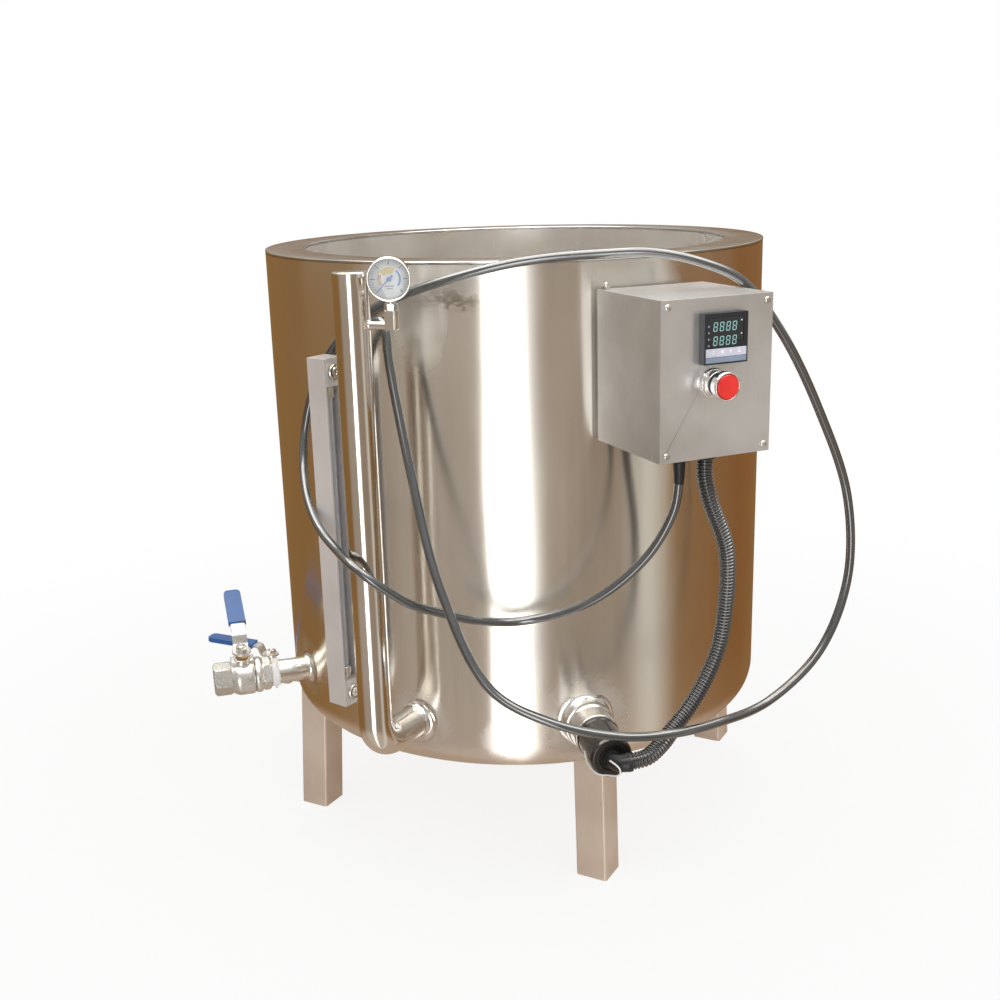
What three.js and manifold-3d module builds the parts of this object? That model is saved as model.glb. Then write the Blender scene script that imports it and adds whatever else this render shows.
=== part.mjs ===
// Jacketed electric melting pot: a double-wall stainless tank on four square legs, with a pot drain,
// a jacket drain, a standpipe with a dial gauge, a level gauge, a side heater and a control box.
// Millimetres, +Z up. The tank axis is the working origin; azimuth 0 faces -Y and grows towards +X.

import * as THREE from 'three';
import { mergeVertices } from 'three/addons/utils/BufferGeometryUtils.js';
import Module from 'manifold-3d';

const wasm = await Module();
wasm.setup();

// Common fits

const fit = {
  gap: 0.3,            // clearance where one piece seats on another
  running: 0.6,        // clearance of a piece that turns or slides
  overrun: 6,          // how far a cutting tool runs past the face it cuts
  mergeTolerance: 1e-4,
};

// Tank

const tank = {
  outerRadius: 300, wall: 2, top: 708, bottom: 140, knuckle: 35, sides: 48, knuckleSteps: 4,
};
const pot = { jacketGap: 45, wall: 2, floor: 250, knuckle: 30, knuckleSteps: 3, sides: 40 };
const rim = { thickness: 3, chamfer: 1 };

// Legs

const leg = { width: 38, wall: 2, footInset: 102.5, splay: 3, plateGap: 0.4 };

// Pot drain and its ball valve

const drain = {
  azimuth: -32.6, height: 213.7, outerRadius: 14.2, innerRadius: 11, bendRadius: 26, bendSteps: 3,
  stubReach: 18, valveAzimuth: -45.4, valveReach: 62, kinkRadius: 60, kinkSteps: 1, sides: 14,
  weldRadius: 20, weldThickness: 4, threadLength: 13,
};
const drainValve = {
  roll: 10, hexAcross: 34.5, hexLength: 21, bodyRadius: 22, bodyLength: 27, collarLength: 9,
  collarRadius: 21.4, endHexLength: 10, boreRadius: 8, socketRadius: 13, socketDepth: 15,
  ballRadius: 12.8, stemRadius: 4, bonnetRadius: 10, bonnetHeight: 27, lugWidth: 14, lugHeight: 7,
  packingAcross: 13, packingHeight: 5, leverHeight: 34, nutAcross: 12, nutHeight: 6,
  stemTop: 43, sides: 18, ballSides: 14, chamfer: 1.5,
};
const drainLever = {
  length: 113.7, width: 17.5, thickness: 2.5, rise: 12, flatReach: 14, rampReach: 20, incline: 5,
  gripLength: 72, gripWidth: 20.5, gripThickness: 6.6, gripEndSteps: 6, tailRadius: 11, turn: -90,
};

// Jacket drain and its smaller ball valve

const jacketDrain = {
  azimuth: -77, height: 104, socketInset: 75, outerRadius: 10.6, innerRadius: 8, bendRadius: 20,
  bendSteps: 2, sides: 12, valveStandOff: 70, threadLength: 10, weldRadius: 15, weldThickness: 3,
};
const jacketValve = {
  roll: 0, hexAcross: 26, hexLength: 14, bodyRadius: 16, bodyLength: 22, collarLength: 6,
  collarRadius: 15.4, endHexLength: 12, boreRadius: 6, socketRadius: 9.6, socketDepth: 10,
  ballRadius: 9.2, stemRadius: 3.4, bonnetRadius: 8, bonnetHeight: 20, lugWidth: 11, lugHeight: 5,
  leverHeight: 26, nutAcross: 11, nutHeight: 5.5,
  stemTop: 34, sides: 16, ballSides: 12, chamfer: 1.2,
};
const jacketLever = {
  length: 97, width: 16, thickness: 2.5, rise: 12, flatReach: 12, rampReach: 17, incline: 4.5,
  gripLength: 72, gripWidth: 19, gripThickness: 6.6, gripEndSteps: 6, tailRadius: 10, turn: 0,
};

// Standpipe with its dial gauge branch

const standpipe = {
  azimuth: 2.5, standOff: 72, outerRadius: 18, innerRadius: 16, top: 705, stubHeight: 199,
  bendRadius: 30, bendSteps: 4, sides: 16, boreSides: 10, weldAzimuth: 4.2, weldRadius: 25, weldThickness: 4,
  capThickness: 3,
};
const branch = {
  azimuth: 95.8, reach: 43.3, drop: 52, radius: 4, bore: 2, sides: 12, blockWidth: 11, blockHeight: 20,
  blockBelow: 5, socketDepth: 8,
};
const dialGauge = {
  facing: 26, rise: 30.5, caseRadius: 20.5, caseDepth: 19, wall: 1.2, bezelRadius: 21.6,
  bezelDepth: 4, behindAxis: 8.5, dialInset: 6, dialThickness: 1, glassThickness: 1.5, glassInset: 0.6,
  sides: 24, stemRadius: 4, hubRadius: 2.2, hubDepth: 1.6, needleLength: 15, needleTail: 5,
  needleWidth: 1.4, needleThickness: 0.5, pivotRadius: 0.8, restAngle: 135, nutAcross: 12, nutHeight: 6.7,
};

// Level gauge

const level = {
  azimuth: -8.5, standOff: 50, width: 25, depth: 26, top: 612, bottom: 223, wall: 2.5,
  blockHeight: 30, tubeRadius: 6, tubeWall: 1.2, tubeInset: 4, nippleRadius: 6, nippleBore: 3,
  boltRadius: 8.5, boltHead: 4, boltShank: 4, boltReach: 6.5, boltDrop: 15, boltSides: 18,
  nippleInset: 4, sides: 12,
};

// Heater in the jacket

const heater = {
  azimuth: 41, height: 204.5, socketRadius: 24.5, socketBore: 21, socketInset: 18, socketStandOff: 45,
  weldRadius: 31, weldThickness: 5, plugRadius: 20.7, plugLength: 42, plugInset: 1, rodRadius: 4,
  rodReach: 90, rodSpread: 9, rodGap: 8, rodSteps: 2, rodSides: 6, terminalRadius: 3, terminalLength: 14,
  terminalSpacing: 9, capRadius: 23, capWall: 2.5, capStandOff: 98, capChamfer: 2, sides: 24,
};
const elbow = {
  outerRadius: 9.5, innerRadius: 6, bendRadius: 13.5, bendSteps: 3, tilt: 9, cornerReach: 16,
  outletReach: 14.5, sides: 12,
};
const probe = { rise: 37.6, radius: 3, inset: 38, sides: 12, headRadius: 6, headLength: 5 };

// Control box

const box = {
  azimuth: 52.25, standOff: 6, depth: 122, left: -47.3, right: 76.9, bottom: 522.4, height: 154.8,
  wall: 1.5, coverThickness: 1.5, flange: 12, plateGap: 0.4, plateThickness: 2, plateMargin: 5,
  spacerRadius: 6, spacerInset: 16, spacerSides: 12,
};
const screw = {
  headRadius: 3.4, headHeight: 2.2, shankRadius: 1.9, shankLength: 9, inset: 7, slotWidth: 0.9,
  slotDepth: 0.8, sides: 10,
};
const controller = {
  size: 48, centreX: 18.6, topInset: 38.4, bezelDepth: 9, bodySize: 44.5, bodyDepth: 70, windowWidth: 38,
  windowHeight: 22, windowDepth: 1.2, windowRise: 8, keyWidth: 7.6, keyHeight: 5.4, keyPitch: 9.6,
  keyDrop: 12.2, keyDepth: 2.6, keyProud: 0.3, keyTravel: 0.5,
};
const button = {
  centreX: 10.6, drop: 43, baseRadius: 14.4, baseDepth: 2.4, neckRadius: 12.2, neckDepth: 13.9,
  headRadius: 14.2, headDepth: 9.5, capRadius: 11.7, capProud: 1, capDepth: 5, travel: 4, plungerRadius: 5,
  bodyRadius: 10.8, bodyDepth: 30, sides: 20, blockWidth: 26, blockHeight: 30,
  blockDepth: 24,
};
const relay = { width: 44, depth: 24, height: 56, centreX: -14, rise: 50.6 };
const terminals = {
  width: 50, depth: 20, height: 16, centreX: 34, rise: 13.6, ways: 5, slotWidth: 5, slotDepth: 4,
};
const glands = {
  frontInset: 40, flangeHeight: 4, noseHeight: 7, insideHeight: 8, sides: 14,
};
const cableGland = {
  name: 'cable_gland', centreX: 0, flangeRadius: 11, noseRadius: 8.5, threadRadius: 7.5, bore: 5.1,
};
const conduitGland = {
  name: 'conduit_gland', centreX: 30, flangeRadius: 13.5, noseRadius: 11.5, threadRadius: 10.5, bore: 6,
};

// Supply cable and ribbed conduit

const cable = { radius: 4.8, sides: 8, steps: 82 };
const conduit = { radius: 9, rootRadius: 7.8, boreRadius: 6, ribPitch: 3.5, sides: 8, ribsPerBoreRing: 5 };
const plug = {
  azimuth: -9, standOff: 12, top: 466, width: 30, thickness: 20, length: 40, corner: 5, cornerSteps: 3,
  neckRadius: 7, neckLength: 16, pinRadius: 2.2, pinLength: 17, pinSpacing: 17, sides: 10,
};

// Distances from the tank axis and heights that follow from these sizes

const potRadius = tank.outerRadius - pot.jacketGap;
const footOffset = tank.outerRadius - leg.footInset;
const jacketSocketRadius = tank.outerRadius - jacketDrain.socketInset;
const jacketValveDistance = tank.outerRadius + jacketDrain.valveStandOff;
const standpipeDistance = tank.outerRadius + standpipe.standOff;
const branchHeight = standpipe.top - branch.drop;
const branchTop = branchHeight - branch.blockBelow + branch.blockHeight;
const dialHeight = branchTop + dialGauge.rise;
const levelReach = tank.outerRadius + level.standOff;
const nippleInner = tank.outerRadius - level.nippleInset;
const socketInner = tank.outerRadius - heater.socketInset;
const socketOuter = tank.outerRadius + heater.socketStandOff;
const plugOuter = socketOuter - heater.plugInset;
const plugInner = plugOuter - heater.plugLength;
const capOuter = tank.outerRadius + heater.capStandOff;
const probeInner = tank.outerRadius - probe.inset;
const plateBack = tank.outerRadius + box.plateGap;
const boxBack = tank.outerRadius + box.standOff;
const boxFront = boxBack + box.depth;
const boxTop = box.bottom + box.height;
const controllerHeight = boxTop - controller.topInset;
const buttonHeight = controllerHeight - button.drop;
const relayBottom = box.bottom + relay.rise;
const terminalsBottom = box.bottom + terminals.rise;
const probeHeight = box.bottom + probe.rise;
const glandDistance = boxFront - glands.frontInset;
const plugDistance = tank.outerRadius + plug.standOff;

// Finishes

const finish = (color, metalness, roughness) => (
  new THREE.MeshStandardMaterial({ color, metalness, roughness })
);
const polishedSteel = finish(0xc9c4bd, 1, 0.16);
const brushedSteel = finish(0xb4b1ab, 1, 0.38);
const castSteel = finish(0xb9b7b2, 1, 0.45);
const aluminium = finish(0xcfcfcf, 1, 0.4);
const blueVinyl = finish(0x2f5fa8, 0, 0.45);
const blackRubber = finish(0x1c1d1f, 0, 0.5);
const blackPlastic = finish(0x26272b, 0, 0.4);
const whitePlastic = finish(0xe9e7e2, 0, 0.45);
const greyPlastic = finish(0x9b9aa8, 0, 0.5);
const redPlastic = finish(0xe0281c, 0, 0.3);
const darkWindow = finish(0x17202a, 0, 0.15);
const clearGlass = finish(0xdfe8ea, 0, 0.05);
const brass = finish(0xb08d4a, 1, 0.35);

// Directions and places about the tank axis

const quarterTurn = Math.PI / 2;
const radians = THREE.MathUtils.degToRad;
const outward = (azimuth) => new THREE.Vector3(Math.sin(radians(azimuth)), -Math.cos(radians(azimuth)), 0);
const sideways = (azimuth) => new THREE.Vector3(Math.cos(radians(azimuth)), Math.sin(radians(azimuth)), 0);
const place = (azimuth, distance, height) => outward(azimuth).multiplyScalar(distance).setZ(height);

// Solid modelling

function toSolid(geometry) {
  const bare = geometry.clone();
  bare.deleteAttribute('normal');
  bare.deleteAttribute('uv');
  const merged = mergeVertices(bare, fit.mergeTolerance);
  const index = merged.index.array;
  const corners = [0, 1, 2].map(() => new THREE.Vector3());
  const triangles = [];
  let volume = 0;
  for (let i = 0; i < index.length; i += 3) {
    const face = [index[i], index[i + 1], index[i + 2]];
    if (new Set(face).size < face.length) continue;
    corners.forEach((corner, k) => corner.fromBufferAttribute(merged.attributes.position, face[k]));
    volume += corners[0].dot(corners[1].clone().cross(corners[2]));
    triangles.push(face);
  }
  if (volume < 0) triangles.forEach((face) => face.reverse());
  return new wasm.Manifold(new wasm.Mesh({
    numProp: 3,
    vertProperties: Float32Array.from(merged.attributes.position.array),
    triVerts: Uint32Array.from(triangles.flat()),
  }));
}

function toGeometry(solid) {
  const mesh = solid.getMesh();
  const geometry = new THREE.BufferGeometry();
  geometry.setAttribute('position', new THREE.BufferAttribute(Float32Array.from(mesh.vertProperties), 3));
  geometry.setIndex(new THREE.BufferAttribute(Uint32Array.from(mesh.triVerts), 1));
  return geometry;
}

const closed = (geometry) => toGeometry(toSolid(geometry));
const join = (...pieces) => toGeometry(pieces.map(toSolid).reduce((sum, piece) => sum.add(piece)));
const cut = (piece, ...tools) => toGeometry(
  tools.map(toSolid).reduce((rest, tool) => rest.subtract(tool), toSolid(piece)),
);

// Basic forms, each standing on z = 0 about the Z axis

function rod(radius, length, sides, topRadius = radius) {
  return new THREE.CylinderGeometry(topRadius, radius, length, sides)
    .rotateX(quarterTurn)
    .translate(0, 0, length / 2);
}

function hexRod(across, length) {
  const sides = 6;
  return rod(across / Math.sqrt(3), length, sides);
}

// The same with a ridge towards +X and flats towards -Y and +Y
const turnedHexRod = (across, length) => hexRod(across, length).rotateZ(quarterTurn);

function block(width, depth, height) {
  return new THREE.BoxGeometry(width, depth, height).translate(0, 0, height / 2);
}

function turned(profile, sides) {
  const points = profile.map(([radius, height]) => new THREE.Vector2(radius, height));
  return closed(new THREE.LatheGeometry(points, sides).rotateX(quarterTurn));
}

function ring(innerRadius, outerRadius, length, sides) {
  const outline = [
    [innerRadius, 0], [outerRadius, 0], [outerRadius, length], [innerRadius, length], [innerRadius, 0],
  ];
  return turned(outline, sides);
}

function domedRod(radius, length, chamfer, sides) {
  return turned(
    [[0, 0], [radius, 0], [radius, length - chamfer], [radius - chamfer, length], [0, length]], sides,
  );
}

// Points of an arc in the profile plane, from one angle to another in degrees
function arc(centreRadius, centreHeight, radius, fromAngle, toAngle, steps) {
  return Array.from({ length: steps + 1 }, (_, i) => {
    const angle = radians(fromAngle + ((toAngle - fromAngle) * i) / steps);
    return [centreRadius + radius * Math.cos(angle), centreHeight + radius * Math.sin(angle)];
  });
}

// A path through given stations, each of which becomes one ring of a swept tube
class StationPath extends THREE.Curve {
  constructor(stations) {
    super();
    this.stations = stations;
  }

  getPoint(t) {
    const last = this.stations.length - 1;
    const i = Math.min(Math.floor(t * last), last - 1);
    return this.stations[i].clone().lerp(this.stations[i + 1], t * last - i);
  }

  getPointAt(u) {
    return this.getPoint(u);
  }

  getTangentAt(u) {
    const last = this.stations.length - 1;
    const i = Math.round(u * last);
    const before = this.stations[Math.max(i - 1, 0)];
    const after = this.stations[Math.min(i + 1, last)];
    const here = this.stations[i];
    const incoming = i > 0 ? here.clone().sub(before).normalize() : new THREE.Vector3();
    const outgoing = i < last ? after.clone().sub(here).normalize() : new THREE.Vector3();
    return incoming.add(outgoing).normalize();
  }
}

function circle(radius, sides, path) {
  for (let i = 0; i < sides; i += 1) {
    const angle = (2 * Math.PI * i) / sides;
    const point = [radius * Math.cos(angle), radius * Math.sin(angle)];
    if (i === 0) path.moveTo(...point);
    else path.lineTo(...point);
  }
  path.closePath();
  return path;
}

function sweep(stations, outerRadius, innerRadius, sides) {
  const section = circle(outerRadius, sides, new THREE.Shape());
  if (innerRadius > 0) section.holes.push(circle(innerRadius, sides, new THREE.Path()));
  const extrudePath = new StationPath(stations);
  return closed(new THREE.ExtrudeGeometry(section, { steps: stations.length - 1, extrudePath }));
}

// Straight runs between corner points, with each corner rounded
function roundedRoute(corners, bendRadius, steps) {
  const stations = [corners[0].clone()];
  for (let i = 1; i < corners.length - 1; i += 1) {
    const toCorner = corners[i].clone().sub(corners[i - 1]).normalize();
    const fromCorner = corners[i + 1].clone().sub(corners[i]).normalize();
    const halfTurn = toCorner.angleTo(fromCorner) / 2;
    const tangent = bendRadius * Math.tan(halfTurn);
    const start = corners[i].clone().addScaledVector(toCorner, -tangent);
    const towardCentre = fromCorner.clone().sub(toCorner).normalize();
    const centre = corners[i].clone().addScaledVector(towardCentre, bendRadius / Math.cos(halfTurn));
    const axis = toCorner.clone().cross(fromCorner).normalize();
    for (let k = 0; k <= steps; k += 1) {
      const spoke = start.clone().sub(centre).applyAxisAngle(axis, (2 * halfTurn * k) / steps);
      stations.push(centre.clone().add(spoke));
    }
  }
  stations.push(corners[corners.length - 1].clone());
  return stations;
}

// Scene graph helpers

const assembly = new THREE.Group();

function station(parent, azimuth, distance, height) {
  const group = new THREE.Group();
  group.position.copy(place(azimuth, distance, height));
  group.rotation.z = radians(azimuth);
  parent.add(group);
  return group;
}

function addPiece(parent, name, geometry, material) {
  const mesh = new THREE.Mesh(geometry, material);
  mesh.name = name;
  parent.add(mesh);
  return mesh;
}

// Lays a form that stands on +Z down so that its top points outwards, along -Y
const facingOut = (geometry) => geometry.clone().rotateX(quarterTurn);

// A cutting rod that runs outwards through the shell
function radialTool(azimuth, height, radius, fromDistance, toDistance, sides) {
  return rod(radius, toDistance - fromDistance, sides)
    .rotateX(quarterTurn)
    .translate(0, -fromDistance, height)
    .rotateZ(radians(azimuth));
}

// Tank: outer shell, rim ring and inner pot

const wallTop = tank.top - rim.thickness - fit.gap;
const shellHole = (outerRadius) => outerRadius + fit.gap;

// The standpipe's lower run meets the shell at a slant
const stubStart = place(standpipe.weldAzimuth, tank.outerRadius - 2 * tank.wall, standpipe.stubHeight);
const stubCorner = place(standpipe.azimuth, standpipeDistance, standpipe.stubHeight);
const stubWay = stubCorner.clone().sub(stubStart).normalize();
const beforeStub = stubStart.clone().addScaledVector(stubWay, -fit.overrun);

function shellOutline(offset) {
  const radius = tank.outerRadius - offset;
  const knuckle = tank.knuckle - offset;
  const knuckleHeight = tank.bottom + tank.knuckle;
  return [
    [0, tank.bottom + offset],
    ...arc(radius - knuckle, knuckleHeight, knuckle, -90, 0, tank.knuckleSteps),
  ];
}

function makeShell() {
  const outside = [...shellOutline(0), [tank.outerRadius, wallTop]];
  const inside = [...shellOutline(tank.wall), [tank.outerRadius - tank.wall, wallTop]];
  const shell = turned([...outside, ...inside.reverse()], tank.sides);
  const inner = tank.outerRadius - tank.wall - fit.overrun;
  const outer = tank.outerRadius + fit.overrun;
  const bottomPlace = place(jacketDrain.azimuth, jacketSocketRadius, tank.bottom - fit.overrun);
  return cut(
    shell,
    radialTool(drain.azimuth, drain.height, shellHole(drain.outerRadius), inner, outer, drain.sides),
    radialTool(
      heater.azimuth, heater.height, shellHole(heater.socketRadius), inner - fit.overrun, outer,
      heater.sides,
    ),
    sweep([beforeStub, stubCorner], shellHole(standpipe.outerRadius), 0, standpipe.sides),
    radialTool(
      level.azimuth, level.top - level.boltDrop, shellHole(level.nippleRadius), inner, outer,
      level.sides,
    ),
    radialTool(
      level.azimuth, level.bottom + level.boltDrop, shellHole(level.nippleRadius), inner, outer,
      level.sides,
    ),
    radialTool(box.azimuth, probeHeight, shellHole(probe.radius), inner, outer, probe.sides),
    rod(shellHole(jacketDrain.outerRadius), tank.wall + 2 * fit.overrun, jacketDrain.sides)
      .translate(...bottomPlace),
  );
}

function makePot() {
  const outerRadius = potRadius + pot.wall;
  const outerKnuckle = pot.knuckle + pot.wall;
  const knuckleHeight = pot.floor + pot.knuckle;
  const centre = potRadius - pot.knuckle;
  const outside = [
    [0, pot.floor - pot.wall], ...arc(centre, knuckleHeight, outerKnuckle, -90, 0, pot.knuckleSteps),
    [outerRadius, wallTop],
  ];
  const inside = [
    [potRadius, wallTop], ...arc(centre, knuckleHeight, pot.knuckle, 0, -90, pot.knuckleSteps),
    [0, pot.floor],
  ];
  const vessel = turned([...outside, ...inside], pot.sides);
  const drainHole = rod(shellHole(drain.outerRadius), 2 * fit.overrun, drain.sides);
  return cut(vessel, drainHole.translate(0, 0, pot.floor - fit.overrun));
}

function makeRim() {
  const low = tank.top - rim.thickness;
  const high = tank.top - rim.chamfer;
  const outline = [
    [potRadius, low], [tank.outerRadius, low], [tank.outerRadius, high],
    [tank.outerRadius - rim.chamfer, tank.top], [potRadius + rim.chamfer, tank.top],
    [potRadius, high], [potRadius, low],
  ];
  return turned(outline, tank.sides);
}

addPiece(assembly, 'outer_shell', makeShell(), polishedSteel);
addPiece(assembly, 'inner_pot', makePot(), brushedSteel);
addPiece(assembly, 'rim_ring', makeRim(), polishedSteel);

// Legs: square tubes, splayed along the diagonals and cut flat at the floor

function makeLeg(signX, signY) {
  const half = leg.width / 2;
  const bore = half - leg.wall;
  const square = (size, path) => {
    path.moveTo(-size, -size).lineTo(size, -size).lineTo(size, size).lineTo(-size, size).closePath();
    return path;
  };
  const section = square(half, new THREE.Shape());
  section.holes.push(square(bore, new THREE.Path()));
  const depth = tank.bottom + tank.knuckle;
  const lean = Math.tan(radians(leg.splay)) / Math.SQRT2;
  const tube = new THREE.ExtrudeGeometry(section, { depth, bevelEnabled: false });
  tube.applyMatrix4(new THREE.Matrix4().makeShear(0, 0, 0, 0, -signX * lean, -signY * lean));
  tube.translate(signX * footOffset, signY * footOffset, 0);
  const underside = turned(
    [...shellOutline(-leg.plateGap), [tank.outerRadius + leg.plateGap, wallTop], [0, wallTop]],
    tank.sides,
  );
  return cut(tube, underside);
}

const legNames = [['left', -1], ['right', 1]].flatMap(([side, signX]) => (
  [['front', -1], ['rear', 1]].map(([end, signY]) => [`leg_${end}_${side}`, signX, signY])
));
legNames.forEach(([name, signX, signY]) => addPiece(assembly, name, makeLeg(signX, signY), brushedSteel));

// Ball valves. Local frame: stem axis on Z, outlet along -Y, inlet along +Y

const valveInlet = (valve) => valve.bodyLength / 2 + fit.gap + valve.collarLength + valve.endHexLength;

// A threaded inlet: collar and hexagon with a socket for the pipe
function makeValveEnd(valve, supply) {
  const length = valve.collarLength + valve.endHexLength;
  const collar = rod(valve.collarRadius, valve.collarLength, valve.sides);
  const hex = turnedHexRod(valve.hexAcross, valve.endHexLength + valve.chamfer)
    .translate(0, 0, valve.collarLength - valve.chamfer);
  const bore = rod(valve.boreRadius, length + 2 * fit.overrun, valve.sides).translate(0, 0, -fit.overrun);
  const socket = rod(supply.outerRadius + fit.gap, supply.threadLength + fit.overrun, valve.sides)
    .translate(0, 0, length - supply.threadLength - fit.gap);
  return cut(join(collar, hex), bore, socket)
    .rotateX(-quarterTurn)
    .translate(0, valve.bodyLength / 2 + fit.gap, 0);
}

function makeValveBody(valve) {
  const half = valve.bodyLength / 2;
  const reach = half + valve.hexLength;
  const chamber = valve.ballRadius + fit.running;
  const barrel = rod(valve.bodyRadius, valve.bodyLength, valve.sides).translate(0, 0, -half);
  const outletHex = turnedHexRod(valve.hexAcross, valve.hexLength + valve.chamfer)
    .translate(0, 0, half - valve.chamfer);
  const bonnet = rod(valve.bonnetRadius, valve.bonnetHeight, valve.sides);
  const pad = block(valve.lugWidth, valve.bodyLength, valve.lugHeight - valve.chamfer)
    .translate(0, 0, valve.bonnetHeight - valve.lugHeight);
  const chamberTool = rod(chamber, half + chamber + fit.overrun, valve.sides)
    .translate(0, 0, -half - fit.overrun);
  const socketTool = rod(valve.socketRadius, valve.socketDepth + fit.overrun, valve.sides)
    .translate(0, 0, reach - valve.socketDepth);
  return cut(
    join(facingOut(join(barrel, outletHex)), bonnet, pad),
    facingOut(chamberTool),
    facingOut(rod(valve.boreRadius, reach, valve.sides)),
    facingOut(socketTool),
    rod(valve.stemRadius + fit.running, valve.bonnetHeight + fit.overrun, valve.sides),
  );
}

// A valve cast in one piece: the ball goes in through the inlet, and the pipe's thread holds it
function makeWholeValveBody(valve, supply) {
  const inlet = valveInlet(valve);
  const chamber = valve.ballRadius + fit.running;
  const half = valve.bodyLength / 2;
  const endHexLength = valve.collarLength + valve.endHexLength;
  const endHex = turnedHexRod(valve.hexAcross, endHexLength + valve.chamfer)
    .rotateX(-quarterTurn)
    .translate(0, half + fit.gap - valve.chamfer, 0);
  const passage = rod(chamber, inlet + fit.overrun, valve.sides).rotateX(-quarterTurn);
  const socket = rod(supply.outerRadius + fit.gap, supply.threadLength + fit.overrun, valve.sides)
    .rotateX(-quarterTurn)
    .translate(0, inlet - supply.threadLength - fit.gap, 0);
  return cut(join(makeValveBody(valve), endHex), passage, socket);
}

function makeBallAndStem(valve, boreTurn) {
  const ball = new THREE.SphereGeometry(valve.ballRadius, valve.ballSides, valve.ballSides / 2);
  const bore = rod(valve.boreRadius, 2 * (valve.ballRadius + fit.overrun), valve.sides)
    .translate(0, 0, -valve.ballRadius - fit.overrun)
    .rotateX(quarterTurn)
    .rotateZ(boreTurn);
  const stemBase = valve.boreRadius + fit.gap;
  const stem = rod(valve.stemRadius, valve.stemTop - stemBase, valve.sides).translate(0, 0, stemBase);
  return cut(join(ball, stem), bore);
}

// A hexagon nut about the stem
function makeStemNut(valve, across, height, clearance, base) {
  const hole = rod(valve.stemRadius + clearance, height + 2 * fit.overrun, valve.sides)
    .translate(0, 0, -fit.overrun);
  return cut(hexRod(across, height), hole).translate(0, 0, base);
}

// A point along and above a lever's raised straight, which climbs at the incline from the ramp's end
function onStraight(lever, along, above) {
  const climb = radians(lever.incline);
  return [
    lever.rampReach + along * Math.cos(climb) - above * Math.sin(climb),
    lever.rise + along * Math.sin(climb) + above * Math.cos(climb),
  ];
}

// The side view of a lever plate: flat at the stem, a ramp, then the raised straight
function leverSide(lever) {
  const run = lever.length - lever.thickness - lever.rampReach;
  const outline = [
    [0, 0], [lever.flatReach, 0], [lever.rampReach, lever.rise], onStraight(lever, run, 0),
    onStraight(lever, run, lever.thickness), [lever.rampReach, lever.rise + lever.thickness],
    [lever.flatReach, lever.thickness], [0, lever.thickness],
  ];
  return new THREE.Shape(outline.map(([reach, height]) => new THREE.Vector2(reach, height)));
}

// The plate reaches along -Y, with the stem's hole at the origin
function makeLever(valve, lever) {
  const tail = rod(lever.tailRadius, lever.thickness, valve.sides);
  const arm = new THREE.ExtrudeGeometry(leverSide(lever), { depth: lever.width, bevelEnabled: false })
    .translate(0, 0, -lever.width / 2)
    .rotateX(quarterTurn)
    .rotateZ(-quarterTurn);
  const hole = rod(valve.stemRadius + fit.gap, lever.thickness + 2 * fit.overrun, valve.sides)
    .translate(0, 0, -fit.overrun);
  return cut(join(tail, arm), hole);
}

// The sleeve on the raised straight, with a round end and a slot for the plate
function makeGrip(lever) {
  const start = lever.length - lever.gripLength;
  const half = lever.gripWidth / 2;
  const outline = new THREE.Shape();
  outline.moveTo(-half, 0).lineTo(half, 0);
  outline.absarc(0, lever.gripLength - half, half, 0, Math.PI, false);
  outline.closePath();
  const middle = lever.rise + lever.thickness / 2;
  const sleeve = new THREE.ExtrudeGeometry(outline, {
    depth: lever.gripThickness, bevelEnabled: false, curveSegments: lever.gripEndSteps,
  }).rotateZ(Math.PI).translate(0, -start, middle - lever.gripThickness / 2);
  const slotEnd = lever.length - lever.thickness + fit.gap;
  const slotStart = start - fit.overrun;
  const slot = block(lever.width + 2 * fit.gap, slotEnd - slotStart, lever.thickness + 2 * fit.gap)
    .translate(0, -(slotStart + slotEnd) / 2, lever.rise - fit.gap);
  return cut(sleeve, slot)
    .translate(0, lever.rampReach, -lever.rise)
    .rotateX(-radians(lever.incline))
    .translate(0, -lever.rampReach, lever.rise);
}

// names: what each piece is called; no packing or end piece is made where it has no name
function addValve(valve, lever, names, centre, azimuth, supply) {
  const seat = new THREE.Group();
  seat.position.copy(centre);
  seat.rotation.z = radians(azimuth);
  assembly.add(seat);
  const leaning = new THREE.Group();
  leaning.rotation.y = radians(valve.roll);
  seat.add(leaning);
  const leverTurn = radians(lever.turn);
  const leverSeat = new THREE.Group();
  leverSeat.position.z = valve.leverHeight;
  leverSeat.rotation.z = leverTurn;
  leaning.add(leverSeat);
  if (names.end) {
    addPiece(leaning, names.body, makeValveBody(valve), castSteel);
    addPiece(leaning, names.end, makeValveEnd(valve, supply), castSteel);
  } else {
    addPiece(leaning, names.body, makeWholeValveBody(valve, supply), castSteel);
  }
  if (names.packing) {
    const base = valve.bonnetHeight + fit.gap;
    const nut = makeStemNut(valve, valve.packingAcross, valve.packingHeight, fit.running, base);
    addPiece(leaning, names.packing, nut, brass);
  }
  const nutBase = valve.leverHeight + lever.thickness + fit.gap;
  const leverNut = makeStemNut(valve, valve.nutAcross, valve.nutHeight, fit.gap, nutBase);
  addPiece(leaning, names.ball, makeBallAndStem(valve, leverTurn), polishedSteel);
  addPiece(leaning, names.nut, leverNut, polishedSteel);
  addPiece(leverSeat, names.lever, makeLever(valve, lever), brushedSteel);
  addPiece(leverSeat, names.grip, makeGrip(lever), blueVinyl);
}

// Pot drain: from the middle of the pot's floor, through the jacket, to the first valve

const drainKink = place(drain.azimuth, tank.outerRadius + drain.stubReach, drain.height);
const alongDrain = (distance) => drainKink.clone().addScaledVector(outward(drain.valveAzimuth), distance);
const drainThreadEnd = drain.valveReach - valveInlet(drainValve) + drain.threadLength;

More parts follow.
